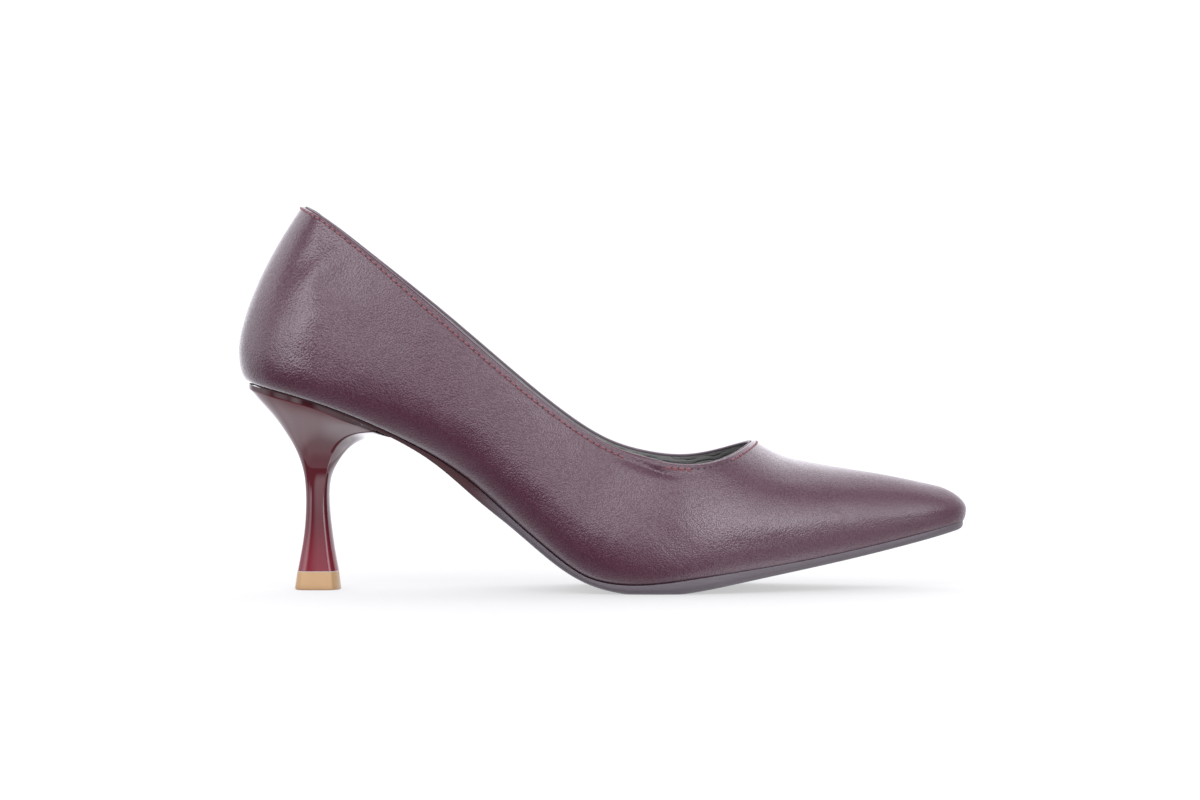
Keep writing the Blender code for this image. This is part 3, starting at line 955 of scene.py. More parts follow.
# %% The heel block
HEEL_RINGS = 64
SEAT_STRIP, LEAST_STRIP = 1.8, 0.45  # the upright strip at the back, and at the breast
STRIP_FADE = (0.7, 1.02)  # where it gets lower, in shares of the way from back to corner
RIM_RISE = 1.2  # how far the strip comes up round the sole
RIM_FADE = (0.55, 1.0)
STRIP_FOOT = 0.12  # the share of the strip that is left to its lower rounding
FLARE_FROM = 0.7  # the share of the heel's height from which its cuts lean to the strip
SHOULDER, SHOULDER_BACK = 0.9, 0.36  # how far the seat is drawn in above the strip
EDGE_RINGS = slice(36, -3)  # the rings of the flare, whose corner takes less lacquer
EDGE_SHIFT = (0.5, 0, 0)  # from the middle of that corner to the side


def heel_brim():
    """The heel's top line, raised round the back, and the height of the strip's foot."""
    last = HEEL[-1]
    brim = heel_ring(last, 1.0)
    ahead = (brim[:, 0] - brim[:, 0].min()) / (last.corner_x - last.back_x)
    brim[:, 2] += RIM_RISE * (1 - ramp(ahead, *RIM_FADE))
    strip_height = np.maximum(SEAT_STRIP * (1 - ramp(ahead, *STRIP_FADE)), LEAST_STRIP)
    return brim, brim[:, 2] - strip_height


def heel_seat():
    """The ring of the heel's top face, drawn in from the strip."""
    last = HEEL[-1]
    back, corner = last.back_x + SHOULDER_BACK, last.corner_x + SHOULDER
    seat = last._replace(
        back_x=back,
        back_z=float(heel_seat_z(back)),
        corner_x=corner,
        corner_z=float(heel_seat_z(corner)),
        breast_x=last.breast_x + SHOULDER,
        half=last.half - SHOULDER,
    )
    return heel_ring(seat, 1.0)


def make_heel():
    """The heel block up to its strip, and the seat drawn in above it."""
    cuts = np.arange(len(HEEL))
    runs = [spline(cuts, [section[i] for section in HEEL]) for i in range(len(HEEL[0]))]
    brim, lip = heel_brim()
    lean = lip - heel_ring(HEEL[-1], 1.0)[:, 2]
    rings = []
    for share in np.linspace(0, 1, HEEL_RINGS):
        section = HeelSection(*(float(run(share * (len(HEEL) - 1))) for run in runs))
        ring = heel_ring(section, share)
        ring[:, 2] += ramp(share, FLARE_FROM, 1.0) * lean
        rings.append(ring)
    crisp = brim.copy()
    crisp[:, 2] = lip + STRIP_FOOT * (brim[:, 2] - lip)
    rings += [crisp, brim, heel_seat()]
    piece = stack("heel_lacquered", rings)
    turn = BACK_STEPS + SIDE_STEPS + ROUND_STEPS // 2
    edge = [ring[place] - EDGE_SHIFT for ring in rings[EDGE_RINGS] for place in (turn, -turn)]
    mark_distance(piece, "from_edge", edge)
    mark_distance(piece, "from_strip", (crisp + brim) / 2)
    return piece


heel = make_heel()
print("heel:", len(heel.data.polygons), "faces")


# %% The top piece
class TipLevel(NamedTuple):
    """One line round the rubber tip: its height, and how much longer than the heel's foot it is."""

    z: float
    grow: float


TIP_LEVELS = (
    TipLevel(0.0, 0.4),
    TipLevel(0.1, 0.68),
    TipLevel(0.3, 0.84),
    TipLevel(0.6, 0.88),
    TipLevel(TOP_PIECE_HEIGHT, 0.0),
)
TIP_CORNER, TIP_BREAST, TIP_HALF = 0.4, 0.8, 0.7  # how much of that the other sizes grow


def make_top_piece():
    """The rubber tip under the heel, widening to the floor with its lower edge eased."""
    foot = HEEL[0]
    rings = []
    for z, grow in TIP_LEVELS:
        section = foot._replace(
            back_x=foot.back_x - grow,
            back_z=z,
            corner_x=foot.corner_x + TIP_CORNER * grow,
            corner_z=z,
            breast_x=foot.breast_x + TIP_BREAST * grow,
            half=foot.half + TIP_HALF * grow,
        )
        rings.append(heel_ring(section, 0.0))
    return stack("top_piece_rubber", rings)


top_piece = make_top_piece()
for piece in (heel, top_piece):
    piece.visible_glossy = False  # so that stem and tip leave no dark mirror image in the flare
print("top piece:", len(top_piece.data.polygons), "faces")

# %% [markdown]
# ## Writing node trees as sums
# Materials and Geometry Nodes are graphs, and graphs are tedious to write out.  A small wrapper
# round a socket lets us write `1 - mask` or `grain * 0.4 + pores` and adds the Math nodes for us.
# Every other node comes from one method, which takes the node's type, settings and inputs.


# %% Wires and trees
class Wire:
    """A value in a node tree; arithmetic on it adds Math nodes."""

    def __init__(self, tree, socket):
        self.tree = tree
        self.socket = socket

    def math(self, operation, first, second):
        return self.tree.node("ShaderNodeMath", {"operation": operation}, {0: first, 1: second})

    def __add__(self, other):
        return self.math("ADD", self, other)

    def __sub__(self, other):
        return self.math("SUBTRACT", self, other)

    def __rsub__(self, other):
        return self.math("SUBTRACT", other, self)

    def __mul__(self, other):
        return self.math("MULTIPLY", self, other)

    def __gt__(self, other):
        return self.math("GREATER_THAN", self, other)

    def output(self, name):
        """Another output of the node that this wire comes from."""
        return Wire(self.tree, self.socket.node.outputs[name])


def pick(sockets, name):
    """A node's socket by its place, its identifier or its name."""
    if isinstance(name, int):
        return sockets[name]
    return next(socket for socket in sockets if name in (socket.identifier, socket.name))


class Tree:
    """A node tree that is filled one node at a time."""

    def __init__(self, nodes):
        self.nodes = nodes

    def node(self, kind, settings=None, inputs=None, output=0):
        node = self.nodes.nodes.new(kind)
        for name, value in (settings or {}).items():
            setattr(node, name, value)
        for name, value in (inputs or {}).items():
            self.plug(node, name, value)
        return Wire(self, pick(node.outputs, output)) if len(node.outputs) else node

    def plug(self, node, name, value):
        socket = pick(node.inputs, name)
        if isinstance(value, Wire):
            self.nodes.links.new(value.socket, socket)
        else:
            socket.default_value = value

    def mix(self, factor, first, second):
        """A colour between two colours."""
        wanted = {"Factor_Float": factor, "A_Color": first, "B_Color": second}
        return self.node("ShaderNodeMix", {"data_type": "RGBA"}, wanted, output="Result_Color")

    def rise(self, value, low, high):
        """A soft step of a value: 0 below low, 1 above high."""
        inputs = {"Value": value, "From Min": low, "From Max": high}
        return self.node("ShaderNodeMapRange", {"interpolation_type": "SMOOTHSTEP"}, inputs)

    def band(self, value, start, full, fade, end):
        """A soft band of a value: 0 up to start, 1 from full to fade, and 0 again from end."""
        return self.rise(value, start, full) * (1 - self.rise(value, fade, end))


class Finish(Tree):
    """A material round one Principled shader."""

    def __init__(self, name):
        self.material = bpy.data.materials.new(name)
        self.material.use_nodes = True
        super().__init__(self.material.node_tree)
        self.shader = self.nodes.nodes["Principled BSDF"]
        self.place = self.node("ShaderNodeTexCoord", output="Object")
        axes = self.node("ShaderNodeSeparateXYZ", inputs={"Vector": self.place})
        self.x, self.z = axes.output("X"), axes.output("Z")

    def noise(self, scale, detail=2.0, place=None):
        inputs = {"Vector": place or self.place, "Scale": scale, "Detail": detail}
        return self.node("ShaderNodeTexNoise", inputs=inputs)

    def streaks(self, scales, detail, place=None):
        """Noise with its own scale along each axis; it is drawn out where the scale is small."""
        inputs = {"Vector": place or self.place, "Scale": scales}
        return self.noise(1.0, detail, self.node("ShaderNodeMapping", inputs=inputs))

    def cells(self, scale):
        """Rounded cells: 0 in the middle of each and rising to its border."""
        inputs = {"Vector": self.place, "Scale": scale, "Smoothness": 0.2, "Randomness": 1.0}
        return self.node("ShaderNodeTexVoronoi", {"feature": "SMOOTH_F1"}, inputs)

    def marked(self, name):
        """A number that was stored at the points of the mesh."""
        return self.node("ShaderNodeAttribute", {"attribute_name": name}, output="Fac")

    def bump(self, height, distance):
        """A Normal for small relief; distance is how far in metres a height of 1 stands out."""
        inputs = {"Height": height, "Distance": distance, "Strength": 1.0}
        return self.node("ShaderNodeBump", inputs=inputs)

    def done(self, **sockets):
        """The material, with its shader's sockets set; an underscore stands for a space."""
        for name, value in sockets.items():
            self.plug(self.shader, name.replace("_", " "), value)
        return self.material


def colour(red, green, blue):
    return (red, green, blue, 1.0)


print("node wrapper ready")

# %% [markdown]
# ## Topstitching
# One row of red stitches runs round the opening, just below the edge.  On the near side it
# disappears into a crease, shows double for a few stitches, and then leaves a short run of empty
# needle holes.  Stitches repeat along a path, which is what Geometry Nodes are for: the path is
# resampled, and a small shape is set on every second point, turned to stand on the leather.


# %% The path of the stitches
STITCH_PITCH = 2.4
STITCH_DROP = 1.35  # from the start of the collar's rounding
STITCH_RISE = 0.9  # how much closer to the edge the row runs round the back
STITCH_RISE_FADE = (-85.0, -60.0)  # where along X it comes away from the edge
SECOND_ROW = 0.5  # how far the doubled thread lies below the first
STITCH_LENGTH = 1.5
THREAD_RADIUS, SECOND_RADIUS, HOLE_RADIUS = 0.35, 0.24, 0.44


class Bare(NamedTuple):
    """A stretch along X on the outer side where no thread shows, and whether holes show in it."""

    start: float
    end: float
    holes: bool


BARE = (Bare(6.0, 21.5, False), Bare(29.3, 44.5, True))
DOUBLED = (22.0, 29.3)


def stitch_path(skin, drop):
    """Points under the collar, lying on the leather, and the way out of the leather there."""
    edge = collar_edge(skin)
    surface = BVHTree.FromPolygons(skin.points.tolist(), skin.faces.tolist())
    drop = drop - STITCH_RISE * (1 - ramp(edge.points[:, 0], *STITCH_RISE_FADE))
    below = edge.points - edge.up * drop[:, None]
    hits = [surface.find_nearest(Vector(point)) for point in below]
    return np.array([hit[0] for hit in hits]), np.array([hit[1] for hit in hits])


def shown(points, stretches):
    """Which points lie on the outer side inside one of the stretches."""
    x, outer = points[:, 0], points[:, 1] < 0
    return sum(outer & (x > start) & (x < end) for start, end in stretches)


def path_object(name, points, lifts, shows):
    """A loop of edges that carries what the node tree needs to know at each point."""
    mesh = bpy.data.meshes.new(name)
    count = len(points)
    loop = [(i, (i + 1) % count) for i in range(count)]
    mesh.from_pydata((points * MM).tolist(), loop, [])
    mesh.attributes.new("lift", "FLOAT_VECTOR", "POINT").data.foreach_set("vector", lifts.ravel())
    mesh.attributes.new("shows", "FLOAT", "POINT").data.foreach_set("value", shows.astype(float))
    path = bpy.data.objects.new(name, mesh)
    bpy.context.scene.collection.objects.link(path)
    return path


# %% The tree that sets shapes along a path
def stitch_shape(tree, ask):
    """A short arched thread that dips into the leather at both ends."""
    reach, radius = ask.output("Length") * 0.5, ask.output("Radius")
    ends = [
        tree.node("ShaderNodeCombineXYZ", inputs={"X": reach * way, "Z": radius * -0.7})
        for way in (-1, 1)
    ]
    top = tree.node("ShaderNodeCombineXYZ", inputs={"Z": radius * 1.5})
    inputs = {"Resolution": 7, "Start": ends[0], "Middle": top, "End": ends[1]}
    arch = tree.node("GeometryNodeCurveQuadraticBezier", inputs=inputs)
    cut = tree.node("GeometryNodeCurvePrimitiveCircle", inputs={"Resolution": 7, "Radius": radius})
    inputs = {"Curve": arch, "Profile Curve": cut, "Fill Caps": True}
    return tree.node("GeometryNodeCurveToMesh", inputs=inputs)


def hole_shape(tree, ask):
    """A flat bead, longer along the row, painted dark as the shade of a pulled needle hole."""
    inputs = {"Segments": 10, "Rings": 6, "Radius": ask.output("Radius")}
    bead = tree.node("GeometryNodeMeshUVSphere", inputs=inputs)
    return tree.node("GeometryNodeTransform", inputs={"Geometry": bead, "Scale": (1.25, 1.0, 0.22)})


ROW_INPUTS = {
    "Geometry": "Geometry",
    "Count": "Int",
    "Phase": "Float",
    "Length": "Float",
    "Radius": "Float",
    "Seed": "Int",
}


def row_tree(name, shape, material):
    """A tree that sets a shape on every second point of a path, where the path shows it."""
    group = bpy.data.node_groups.new(name, "GeometryNodeTree")
    for label, kind in ROW_INPUTS.items():
        group.interface.new_socket(label, in_out="INPUT", socket_type="NodeSocket" + kind)
    group.interface.new_socket("Geometry", in_out="OUTPUT", socket_type="NodeSocketGeometry")
    tree = Tree(group)
    ask = tree.node("NodeGroupInput")
    path = tree.node("GeometryNodeMeshToCurve", inputs={"Mesh": ask})
    inputs = {"Curve": path, "Count": ask.output("Count")}
    spots = tree.node("GeometryNodeResampleCurve", inputs=inputs)

    def marked(kind, label):
        return tree.node("GeometryNodeInputNamedAttribute", {"data_type": kind}, {"Name": label})

    index = tree.node("GeometryNodeInputIndex")
    turn = index.math("MODULO", index + ask.output("Phase"), 2.0)
    wanted = (1 - turn) * marked("FLOAT", "shows") > 0.5
    along = tree.node("GeometryNodeInputTangent")
    axes = {"Primary Axis": marked("FLOAT_VECTOR", "lift"), "Secondary Axis": along}
    standing = {"primary_axis": "Z", "secondary_axis": "X"}
    upright = tree.node("FunctionNodeAxesToRotation", standing, axes)
    spread = {"Min": (0.9, 0.9, 0.9), "Max": (1.08, 1.1, 1.1), "Seed": ask.output("Seed")}
    size = tree.node("FunctionNodeRandomValue", {"data_type": "FLOAT_VECTOR"}, spread)

    inputs = {"Points": spots, "Selection": wanted, "Rotation": upright, "Scale": size}
    inputs["Instance"] = shape(tree, ask)
    row = tree.node("GeometryNodeInstanceOnPoints", inputs=inputs)
    row = tree.node("GeometryNodeRealizeInstances", inputs={"Geometry": row})
    row = tree.node("GeometryNodeSetShadeSmooth", inputs={"Geometry": row})
    row = tree.node("GeometryNodeSetMaterial", inputs={"Geometry": row, "Material": material})
    tree.node("NodeGroupOutput", inputs={"Geometry": row})
    return group


def along_path(name, path, shape, material, **inputs):
    """A plain mesh of shapes set along a path."""
    group = row_tree(name + "_row", shape, material)
    modifier = path.modifiers.new(name, "NODES")
    modifier.node_group = group
    for socket in group.interface.items_tree:
        if socket.in_out == "INPUT" and socket.name in inputs:
            modifier[socket.identifier] = inputs[socket.name]
    bpy.context.view_layer.update()
    seen = path.evaluated_get(bpy.context.evaluated_depsgraph_get())
    piece = bpy.data.objects.new(name, bpy.data.meshes.new_from_object(seen))
    bpy.context.scene.collection.objects.link(piece)
    path.modifiers.remove(modifier)
    bpy.data.objects.remove(path)
    return piece


print("rows take", ", ".join(ROW_INPUTS))


# %% [markdown]
# ## Finishes
# The photo's leather is dark burgundy with fine pebbles and a soft sheen, the sole edge a satin
# mauve, the heel a deep red lacquer, the lining charcoal and the tip tan rubber.  Colours are
# given as they look on screen and turned into light values.  Painted image textures would do,
# but they need unwrapped surfaces.  So grain and scuffs are procedural, in the shoe's own metres:
# cells for the pebbles, noise for the cloudiness of the dye.


# %% Colours
def screen(red, green, blue):
    """A colour as it looks on screen, 0 to 255, turned into light values."""

    def light(value):
        share = value / 255
        return share / 12.92 if share < 0.04 else ((share + 0.055) / 1.055) ** 2.4

    return colour(light(red), light(green), light(blue))


print("burgundy dye:", [round(value, 3) for value in screen(45, 14, 28)[:3]])

# %% [markdown]
# ### Leather
# The photo's leather has small pebbles, finer pores between them, and slow waves where it was
# stretched over the last.  One noise would look like plaster, so each has a node of its own and
# they are added into one height for the bump.  Wider scales come in on the counter, and lines on
# the ball and at the bend below the collar.  The clear coat lies on the tops of the pebbles only,
# which breaks the highlights up into grain, and it is thinner on the toe.

# %% Burgundy leather
COUNTER_END = (-0.1, -0.065)
TOE_WEAR = (0.06, 0.105)
BALL_ALONG, BALL_TOP = (-0.01, 0.012, 0.034, 0.055), (0.03, 0.042)
BEND_ALONG, BEND_UP = (0.0125, 0.016, 0.0205, 0.0245), (0.038, 0.0405, 0.0425, 0.045)
CREASE_LEAN = math.radians(-50)


def leather_creases(finish):
    """Two masks: faint lines that lean across the ball, and wrinkles at the bend of the collar."""
    lean = {"Vector": finish.place, "Angle": CREASE_LEAN}
    turned = finish.node("ShaderNodeVectorRotate", {"rotation_type": "Y_AXIS"}, lean)
    ball = finish.band(finish.x, *BALL_ALONG) * (1 - finish.rise(finish.z, *BALL_TOP))
    lines = finish.rise(finish.streaks((70.0, 200.0, 700.0), 2.0, turned), 0.52, 0.72)
    bend = finish.band(finish.x, *BEND_ALONG) * finish.band(finish.z, *BEND_UP)
    wrinkles = finish.rise(finish.streaks((110.0, 200.0, 900.0), 1.0, turned), 0.5, 0.62)
    return lines * ball, wrinkles * bend


def make_leather():
    finish = Finish("burgundy_leather")
    pebbles, scales = finish.cells(1700.0), finish.cells(1150.0)
    pores = finish.noise(2800.0, detail=3.0)
    cloud = finish.noise(34.0, detail=4.0)
    waves = finish.noise(85.0, detail=2.0)
    counter = 1 - finish.rise(finish.x, *COUNTER_END)
    worn_toe = finish.rise(finish.x, *TOE_WEAR)
    lines, wrinkles = leather_creases(finish)
    base = finish.mix(cloud, screen(45, 14, 28), screen(53, 20, 35))
    base = finish.mix(finish.rise(pebbles, 0.3, 0.8) * 0.25, base, screen(34, 12, 20))
    height = pores * 0.4 - pebbles - lines * 0.4 - wrinkles * 1.2 + waves * 4.5 - scales * counter
    return finish.done(
        Base_Color=base,
        Roughness=cloud * 0.16 + pores * 0.06 + worn_toe * 0.1 + 0.19,
        Specular_IOR_Level=0.43,
        Coat_Weight=(1 - finish.rise(pebbles, 0.3, 0.6)) * (0.3 - worn_toe * 0.15),
        Coat_Roughness=0.3,
        Normal=finish.bump(height, 0.00008),
    )


leather = make_leather()
print("leather:", len(leather.node_tree.nodes), "nodes")

# %% [markdown]
# ### Binding
# The binding is a thin mauve tape, duller than the leather.  Where it folds down against the
# leather it lies in shade, and the finish paints that shade as a dark red line.  That line could be
# a thin piece of its own, but the binding's mesh already knows which of its points lie in the fold,
# so the finish reads that mark.

# %% Binding along the collar
def make_binding():
    finish = Finish("mauve_binding")
    cloud = finish.noise(400.0, detail=3.0)
    painted_fold_shade = finish.marked("painted_fold_shade")
    base = finish.mix(cloud, screen(70, 59, 65), screen(86, 74, 81))
    return finish.done(
        # painted shade: dark red on the faces that fold down against the leather
        Base_Color=finish.mix(painted_fold_shade, base, screen(50, 12, 22)),
        Roughness=cloud * 0.2 + painted_fold_shade * 0.3 + 0.48,
        Normal=finish.bump(cloud, 0.00004),
    )


binding_finish = make_binding()
print("binding:", len(binding_finish.node_tree.nodes), "nodes")

# %% [markdown]
# ### Lining and insole
# The lining is a matt charcoal sheet.  The mesh has its wide ruffles; between them the photo
# shows finer ridges that follow the collar.  They are too small for the mesh, so a sine of the
# distance below the collar makes them as bump, with painted shade darkening their grooves, and a
# noise lets them waver.

# %% Lining and insole
RIDGE_PITCH = 1.25  # millimetres between the fine ridges under the collar
RIDGED_BELOW = (1.6, 2.4, 9.0, 14.0)  # where below the collar they come in and fade


def make_lining():
    finish = Finish("charcoal_lining")
    grain = finish.noise(1800.0, detail=3.0)
    cloud = finish.noise(60.0, detail=3.0)
    below = finish.marked("below")
    waver = finish.streaks((150.0, 60.0, 60.0), 2.0) * 2.2
    wave = below.math("SINE", (below + waver) * (2 * math.pi / RIDGE_PITCH), 0.0)
    groove_and_painted_shade = finish.rise(wave, 0.1, 0.9) * finish.band(below, *RIDGED_BELOW)
    base = finish.mix(cloud, screen(98, 98, 96), screen(118, 118, 115))
    return finish.done(
        # painted shade: the grooves between the fine ridges are darkened
        Base_Color=finish.mix(groove_and_painted_shade * 0.85, base, screen(42, 41, 41)),
        Roughness=cloud * 0.15 + 0.5,
        Normal=finish.bump(grain * 0.15 - groove_and_painted_shade, 0.0003),
    )


lining_finish = make_lining()
print("lining:", len(lining_finish.node_tree.nodes), "nodes")

# %% [markdown]
# ### Sole
# The sole's edge is satin mauve, rubbed lengthwise when it was trimmed.  From the waist back it is
# painted dark red, a painted shade where the edge turns under.  A few specks of glue sit in the
# seam at the toe.  The rubbing is a noise drawn out along the shoe, and the glue keeps to the seam
# by a mark on the mesh, so it can't wander down the edge.

# %% Sole edge
GLUE_FROM = (0.05, 0.08)
PAINTED_SHADE_END = (-0.048, -0.033)


def make_sole_finish():
    finish = Finish("mauve_sole")
    cloud = finish.noise(120.0, detail=4.0)
    rub = finish.streaks((120.0, 700.0, 1500.0), 3.0)
    specks = finish.rise(finish.noise(170.0, detail=1.0), 0.66, 0.72)
    glue = finish.rise(finish.marked("seam"), 0.9, 1.0) * specks * finish.rise(finish.x, *GLUE_FROM)
    seat = 1 - finish.rise(finish.x, *PAINTED_SHADE_END)
    base = finish.mix(cloud, screen(48, 40, 45), screen(60, 51, 57))
    # painted shade: dark red from the waist back, where the edge turns under
    base = finish.mix(seat, base, screen(44, 15, 20))
    base = finish.mix(glue, base, screen(186, 172, 172))
    return finish.done(
        Base_Color=base,
        Roughness=rub * 0.2 + seat * 0.4 + 0.44,
        Normal=finish.bump(rub, 0.00003),
    )


sole_finish = make_sole_finish()
print("sole:", len(sole_finish.node_tree.nodes), "nodes")

# %% [markdown]
# ### Lacquer and rubber
# The heel has a deep red colour under clear lacquer.  One glossy shader could give both, but then
# colour and gloss couldn't change apart.  So the colour is matt, and all the gloss is a coat over
# it, thinner along the corner of the flare, on the seat's strip and down the stem.  The strip's red
# is darker, a painted shade under the upper, and low on the stem it is brighter, a painted light.
# The tip is cut from tan rubber, a little darker where it meets the ground, with a noise for its
# specks.

# %% Lacquered heel
STEM_FOOT = (0.006, 0.03)
STEM_TOP = (0.02, 0.045)
SHADED_STRIP_BORDER = (0.7, 1.1)  # millimetres from the middle of the seat's strip
CORNER_BORDER = (0.3, 0.75)  # millimetres from the corner of the flare


def make_lacquer():
    finish = Finish("red_lacquer")
    depth = finish.noise(45.0, detail=2.0)
    dust = finish.noise(900.0, detail=3.0)
    # low marks the foot of the stem, for painted light there and for real scuffs
    low = 1 - finish.rise(finish.z, *STEM_FOOT)
    scuff = finish.rise(dust, 0.68, 0.78) * low
    polish = finish.rise(finish.z, *STEM_TOP) * 0.45 + 0.55
    worn_corner = finish.rise(finish.marked("from_edge"), *CORNER_BORDER) * 0.85 + 0.15
    seat = 1 - finish.rise(finish.marked("from_strip"), *SHADED_STRIP_BORDER)
    base = finish.mix(depth, screen(56, 16, 22), screen(64, 19, 26))
    # painted light: the red is brighter towards the foot of the stem
    base = finish.mix(low * 0.8, base, screen(90, 23, 34))
    # painted shade: the seat's strip is darkened under the upper
    base = finish.mix(seat, base, screen(36, 12, 16))
    base = finish.mix(scuff * 0.4, base, screen(150, 100, 104))
    return finish.done(
        Base_Color=base,
        Roughness=0.5,
        Specular_IOR_Level=0.0,
        Coat_Weight=worn_corner * (1 - seat * 0.5) * polish,
        Coat_Roughness=0.03,
        Normal=finish.bump(depth, 0.00008),
    )


lacquer = make_lacquer()
print("lacquer:", len(lacquer.node_tree.nodes), "nodes")


# %% Tan rubber
DARKER_NEAR_GROUND = (0.0, 0.0022)


def make_rubber():
    finish = Finish("tan_rubber")
    speck = finish.noise(1600.0, detail=3.0)
    cloud = finish.noise(90.0, detail=3.0)
    near_ground = 1 - finish.rise(finish.z, *DARKER_NEAR_GROUND)
    base = finish.mix(cloud, screen(124, 95, 60), screen(136, 107, 70))
    # darker towards the ground
    base = finish.mix(near_ground * 0.35, base, screen(104, 70, 44))
    return finish.done(
        Base_Color=base,
        Roughness=cloud * 0.2 + 0.42,
        Normal=finish.bump(speck, 0.00005),
    )


rubber = make_rubber()
print("rubber:", len(rubber.node_tree.nodes), "nodes")

# %% [markdown]
# ### Thread and needle holes
# The thread is red and slightly fuzzy.  The holes are flat beads whose dark, dull colour is the
# painted shade of the hole.  Both are too small for more than one fine noise, which keeps a row of
# stitches from looking like one plastic bead.

# %% Thread and needle holes
def make_thread():
    finish = Finish("red_thread")
    fuzz = finish.noise(5200.0, detail=2.0)
    return finish.done(
        Base_Color=finish.mix(fuzz, screen(80, 34, 42), screen(102, 50, 58)),
        Roughness=0.6,
        Normal=finish.bump(fuzz, 0.00005),
    )


def make_hole_shade_finish():
    finish = Finish("needle_hole")
    fuzz = finish.noise(5200.0, detail=2.0)
    # painted shade: the bead is dark where the hole holds only shade
    return finish.done(
        Base_Color=finish.mix(fuzz, screen(26, 12, 16), screen(44, 22, 28)), Roughness=0.85
    )


thread_finish, hole_shade_finish = make_thread(), make_hole_shade_finish()
print("finishes:", [material.name for material in bpy.data.materials])

# %% [markdown]
# ## Sewing the collar
# Path, tree and finishes are ready, so the row can be sewn.  One path carries the stitches, a
# second one just below carries the doubled thread, and the holes take the points between the
# stitches.  Each result is turned into a plain mesh, to be handed over like the other pieces.

# %% Sew the collar
points, lifts = stitch_path(upper_skin, STITCH_DROP)
length = float(np.linalg.norm(np.roll(points, -1, axis=0) - points, axis=1).sum())
places = 2 * round(length / STITCH_PITCH)
bare = shown(points, [(gap.start, gap.end) for gap in BARE])
sunk = shown(points, [(gap.start, gap.end) for gap in BARE if not gap.holes])
lower_points, lower_lifts = stitch_path(upper_skin, STITCH_DROP + SECOND_ROW)
thread = dict(Count=places, Phase=0.0, Length=STITCH_LENGTH * MM, Radius=THREAD_RADIUS * MM, Seed=4)
stitches = along_path(
    "topstitching",
    path_object("row", points, lifts, 1 - bare),
    stitch_shape,
    thread_finish,
    **thread,
)
double = along_path(
    "doubled_thread",
    path_object("second", lower_points, lower_lifts, shown(lower_points, [DOUBLED])),
    stitch_shape,
    thread_finish,
    **(thread | {"Radius": SECOND_RADIUS * MM}),
)
holes = along_path(
    "needle_holes",
    path_object("holes", points, lifts, 1 - sunk),
    hole_shape,
    hole_shade_finish,
    Count=places,
    Phase=1.0,
    Radius=HOLE_RADIUS * MM,
    Seed=7,
)
print("row of", round(length), "mm with", places // 2, "places for stitches")
print("faces:", {piece.name: len(piece.data.polygons) for piece in (stitches, double, holes)})

# %% [markdown]
# ## Handing the pieces over
# Every piece rides on the shoe's one body.  Where a piece stands in for a solid, that solid is
# hidden.  Leather, binding and lining all stand for the upper, which in the solid model is one
# wall.

# %% Finish, ride and replace
HANDED = (
    (upper, leather, "upper", "leather"),
    (binding, binding_finish, "upper", "leather"),
    (lining, lining_finish, "upper", "lining"),
    (insole, lining_finish, "insole", "lining"),
    (outsole, sole_finish, "outsole", "sole"),
    (heel, lacquer, "heel", "lacquer"),
    (top_piece, rubber, "top_piece", "tip_rubber"),
)
for piece, material, node, slot in HANDED:
    piece.data.materials.append(material)
    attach(piece, "root")
    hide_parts(node)
for piece in (stitches, double, holes):
    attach(piece, "root")
triangles = {
    piece.name: sum(len(face.vertices) - 2 for face in piece.data.polygons)
    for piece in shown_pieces()
    if piece.name not in frame["nodes"]
}
print("triangles:", triangles, "in all", sum(triangles.values()))

# %% [markdown]
# ## Floor, light and camera
# The photo is a bright studio cut-out: white floor and backdrop, and soft shine all over the shoe.
# A few area lamps could light it, but leather and lacquer mirror the whole room, so the room
# itself is the light.  It has a wide wall of light beside the shoe's outer side, a backdrop, light
# from the floor, and a table of soft glows and dark flags that place the highlights.  The floor
# glows a little too, which keeps the shadows as pale as the photo's.

# %% Floor
FLOOR_REACH = 6.0  # metres to each side
FLOOR_GLOW = 0.5


def make_floor():
    mesh = bpy.data.meshes.new("floor")
    signs = ((-1, -1), (1, -1), (1, 1), (-1, 1))
    corners = [(x * FLOOR_REACH, y * FLOOR_REACH, 0) for x, y in signs]
    mesh.from_pydata(corners, [], [(0, 1, 2, 3)])
    floor = bpy.data.objects.new("floor", mesh)
    bpy.context.scene.collection.objects.link(floor)
    finish = Finish("white_floor")
    tone = finish.noise(3.0, detail=1.0)
    white = finish.mix(tone, colour(0.145, 0.145, 0.142), colour(0.15, 0.15, 0.147))
    material = finish.done(
        Base_Color=white,
        Roughness=0.9,
        Emission_Color=colour(1, 1, 1),
        Emission_Strength=FLOOR_GLOW,
    )
    mesh.materials.append(material)
    floor.visible_glossy = False  # the shoe mirrors the floor light of the room instead
    return floor


make_floor()
print("floor:", 2 * FLOOR_REACH, "metres across")


# %% The room as light
class Glow(NamedTuple):
    """A soft patch of light: its direction from the shoe in degrees, its reach and its strength.

    Azimuth is 0 on the shoe's outer side and rises to the toe.  A strength below 0 is a dark flag.
    """

    azimuth: float
    elevation: float
    inner: float
    outer: float
    strength: float


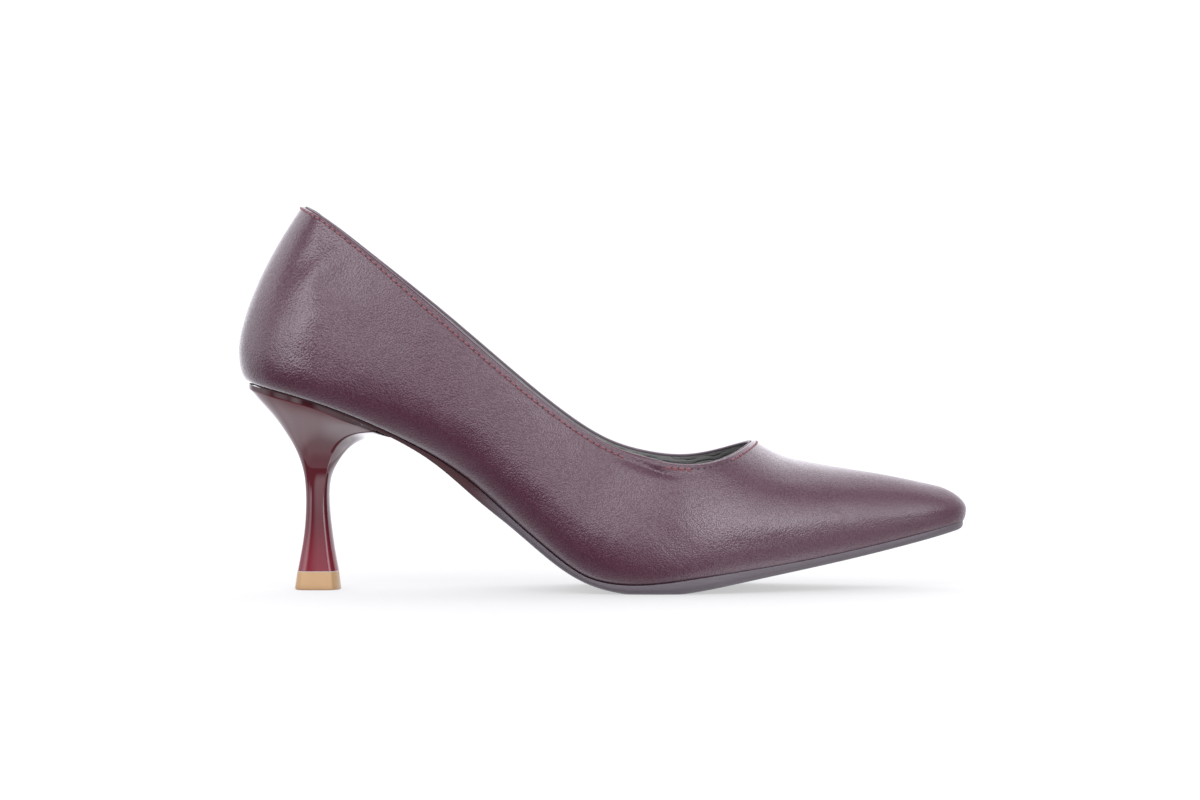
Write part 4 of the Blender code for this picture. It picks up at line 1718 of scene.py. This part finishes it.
GLOWS = (
    Glow(34, 12, 3, 19, 9.6),
    Glow(50, 48, 10, 34, 1.1),
    Glow(64, -32, 8, 36, 2.0),
    Glow(14, -4, 7, 24, 2.2),
    Glow(20, 25, 8, 24, -3.5),
    Glow(18, 47, 6, 18, 1.6),
    Glow(-27, 30, 5, 19, 3.0),
    Glow(-38, 44, 6, 18, 1.5),
    Glow(-54, 31, 4, 16, -1.6),
    Glow(-33, 7, 5, 16, 4.6),
    Glow(-60, 10, 8, 25, 2.8),
    Glow(-92, 6, 5, 18, 1.5),
    Glow(-106, 16, 8, 34, 0.9),
    Glow(-125, -60, 6, 28, 0.9),
    Glow(180, 5, 15, 40, 1.2),
    Glow(125, 2, 12, 36, 1.8),
)


def glow_mask(tree, way, glow):
    """1 inside a patch of light and 0 outside, over a soft border."""
    turn, rise = math.radians(glow.azimuth), math.radians(glow.elevation)
    aim = (math.sin(turn) * math.cos(rise), -math.cos(turn) * math.cos(rise), math.sin(rise))
    product = {"operation": "DOT_PRODUCT"}
    near = tree.node("ShaderNodeVectorMath", product, {0: way, 1: aim}, output="Value")
    return tree.rise(near, math.cos(math.radians(glow.outer)), math.cos(math.radians(glow.inner)))


WALL_LIGHT, TOP_LIGHT, DIM_LIGHT, SEEN_LIGHT = 4.55, 0.8, 0.16, 1.1
ROOM_TONE = {"Red": 0.97, "Green": 0.97, "Blue": 1.03}


def room_light(tree, way):
    """How bright the room is in each direction from the shoe."""
    axes = tree.node("ShaderNodeSeparateXYZ", inputs={"Vector": way})
    side, back, up = (axes.output(name) for name in "XYZ")
    behind = tree.rise(back, -0.05, 0.35)
    above = tree.rise(up, -0.59, -0.56)
    below = tree.rise(side, -0.6, -0.35) * 0.45 + tree.rise(side, 0.2, 0.5) * 0.8 + 0.95
    floor = (1 - above) * below * (tree.rise(back, -0.7, -0.4) * 0.45 + 0.55)
    wall = tree.band(up, 0.07, 0.29, 0.6, 0.88) * (1 - tree.rise(back, -0.5, -0.1))
    backdrop = behind * above * (tree.rise(up, 0.2, 0.6) * 1.6 + 1.2)
    top = tree.rise(up, 0.8, 0.95)
    light = backdrop + floor + wall * WALL_LIGHT + top * TOP_LIGHT + DIM_LIGHT
    for glow in GLOWS:
        light = light + glow_mask(tree, way, glow) * glow.strength
    return light


def make_world():
    world = bpy.data.worlds.new("studio")
    world.use_nodes = True
    bpy.context.scene.world = world
    tree = Tree(world.node_tree)
    light = room_light(tree, tree.node("ShaderNodeTexCoord", output="Generated"))
    channels = {name: light * share for name, share in ROOM_TONE.items()}
    tone = tree.node("ShaderNodeCombineColor", inputs=channels)
    room = tree.node("ShaderNodeBackground", inputs={"Color": tone, "Strength": 1.0})
    white = {"Color": colour(1, 1, 1), "Strength": SEEN_LIGHT}
    seen = tree.node("ShaderNodeBackground", inputs=white)
    camera_ray = tree.node("ShaderNodeLightPath", output="Is Camera Ray")
    both = tree.node("ShaderNodeMixShader", inputs={0: camera_ray, 1: room, 2: seen})
    output = next(node for node in world.node_tree.nodes if node.type == "OUTPUT_WORLD")
    world.node_tree.links.new(both.socket, output.inputs["Surface"])


make_world()
print("room:", len(GLOWS), "glows and flags")

# %% Camera
SENSOR = 36.0
TARGET = Vector((-0.001, 0.0, 0.06615))
AZIMUTH, ELEVATION, DISTANCE = math.radians(-1), math.radians(3.0), 6.0
FRAME_WIDTH = 0.42  # metres across the picture at the target


def make_camera():
    data = bpy.data.cameras.new("camera")
    data.sensor_width = SENSOR
    data.lens = SENSOR * DISTANCE / FRAME_WIDTH
    camera = bpy.data.objects.new("camera", data)
    flat = math.cos(ELEVATION)
    away = Vector((math.sin(AZIMUTH) * flat, -math.cos(AZIMUTH) * flat, math.sin(ELEVATION)))
    camera.location = TARGET + away * DISTANCE
    camera.rotation_euler = (-away).to_track_quat("-Z", "Y").to_euler()
    bpy.context.scene.collection.objects.link(camera)
    bpy.context.scene.camera = camera


make_camera()
bpy.context.scene.view_settings.view_transform = "Standard"
print("camera:", round(bpy.context.scene.camera.data.lens), "mm lens")
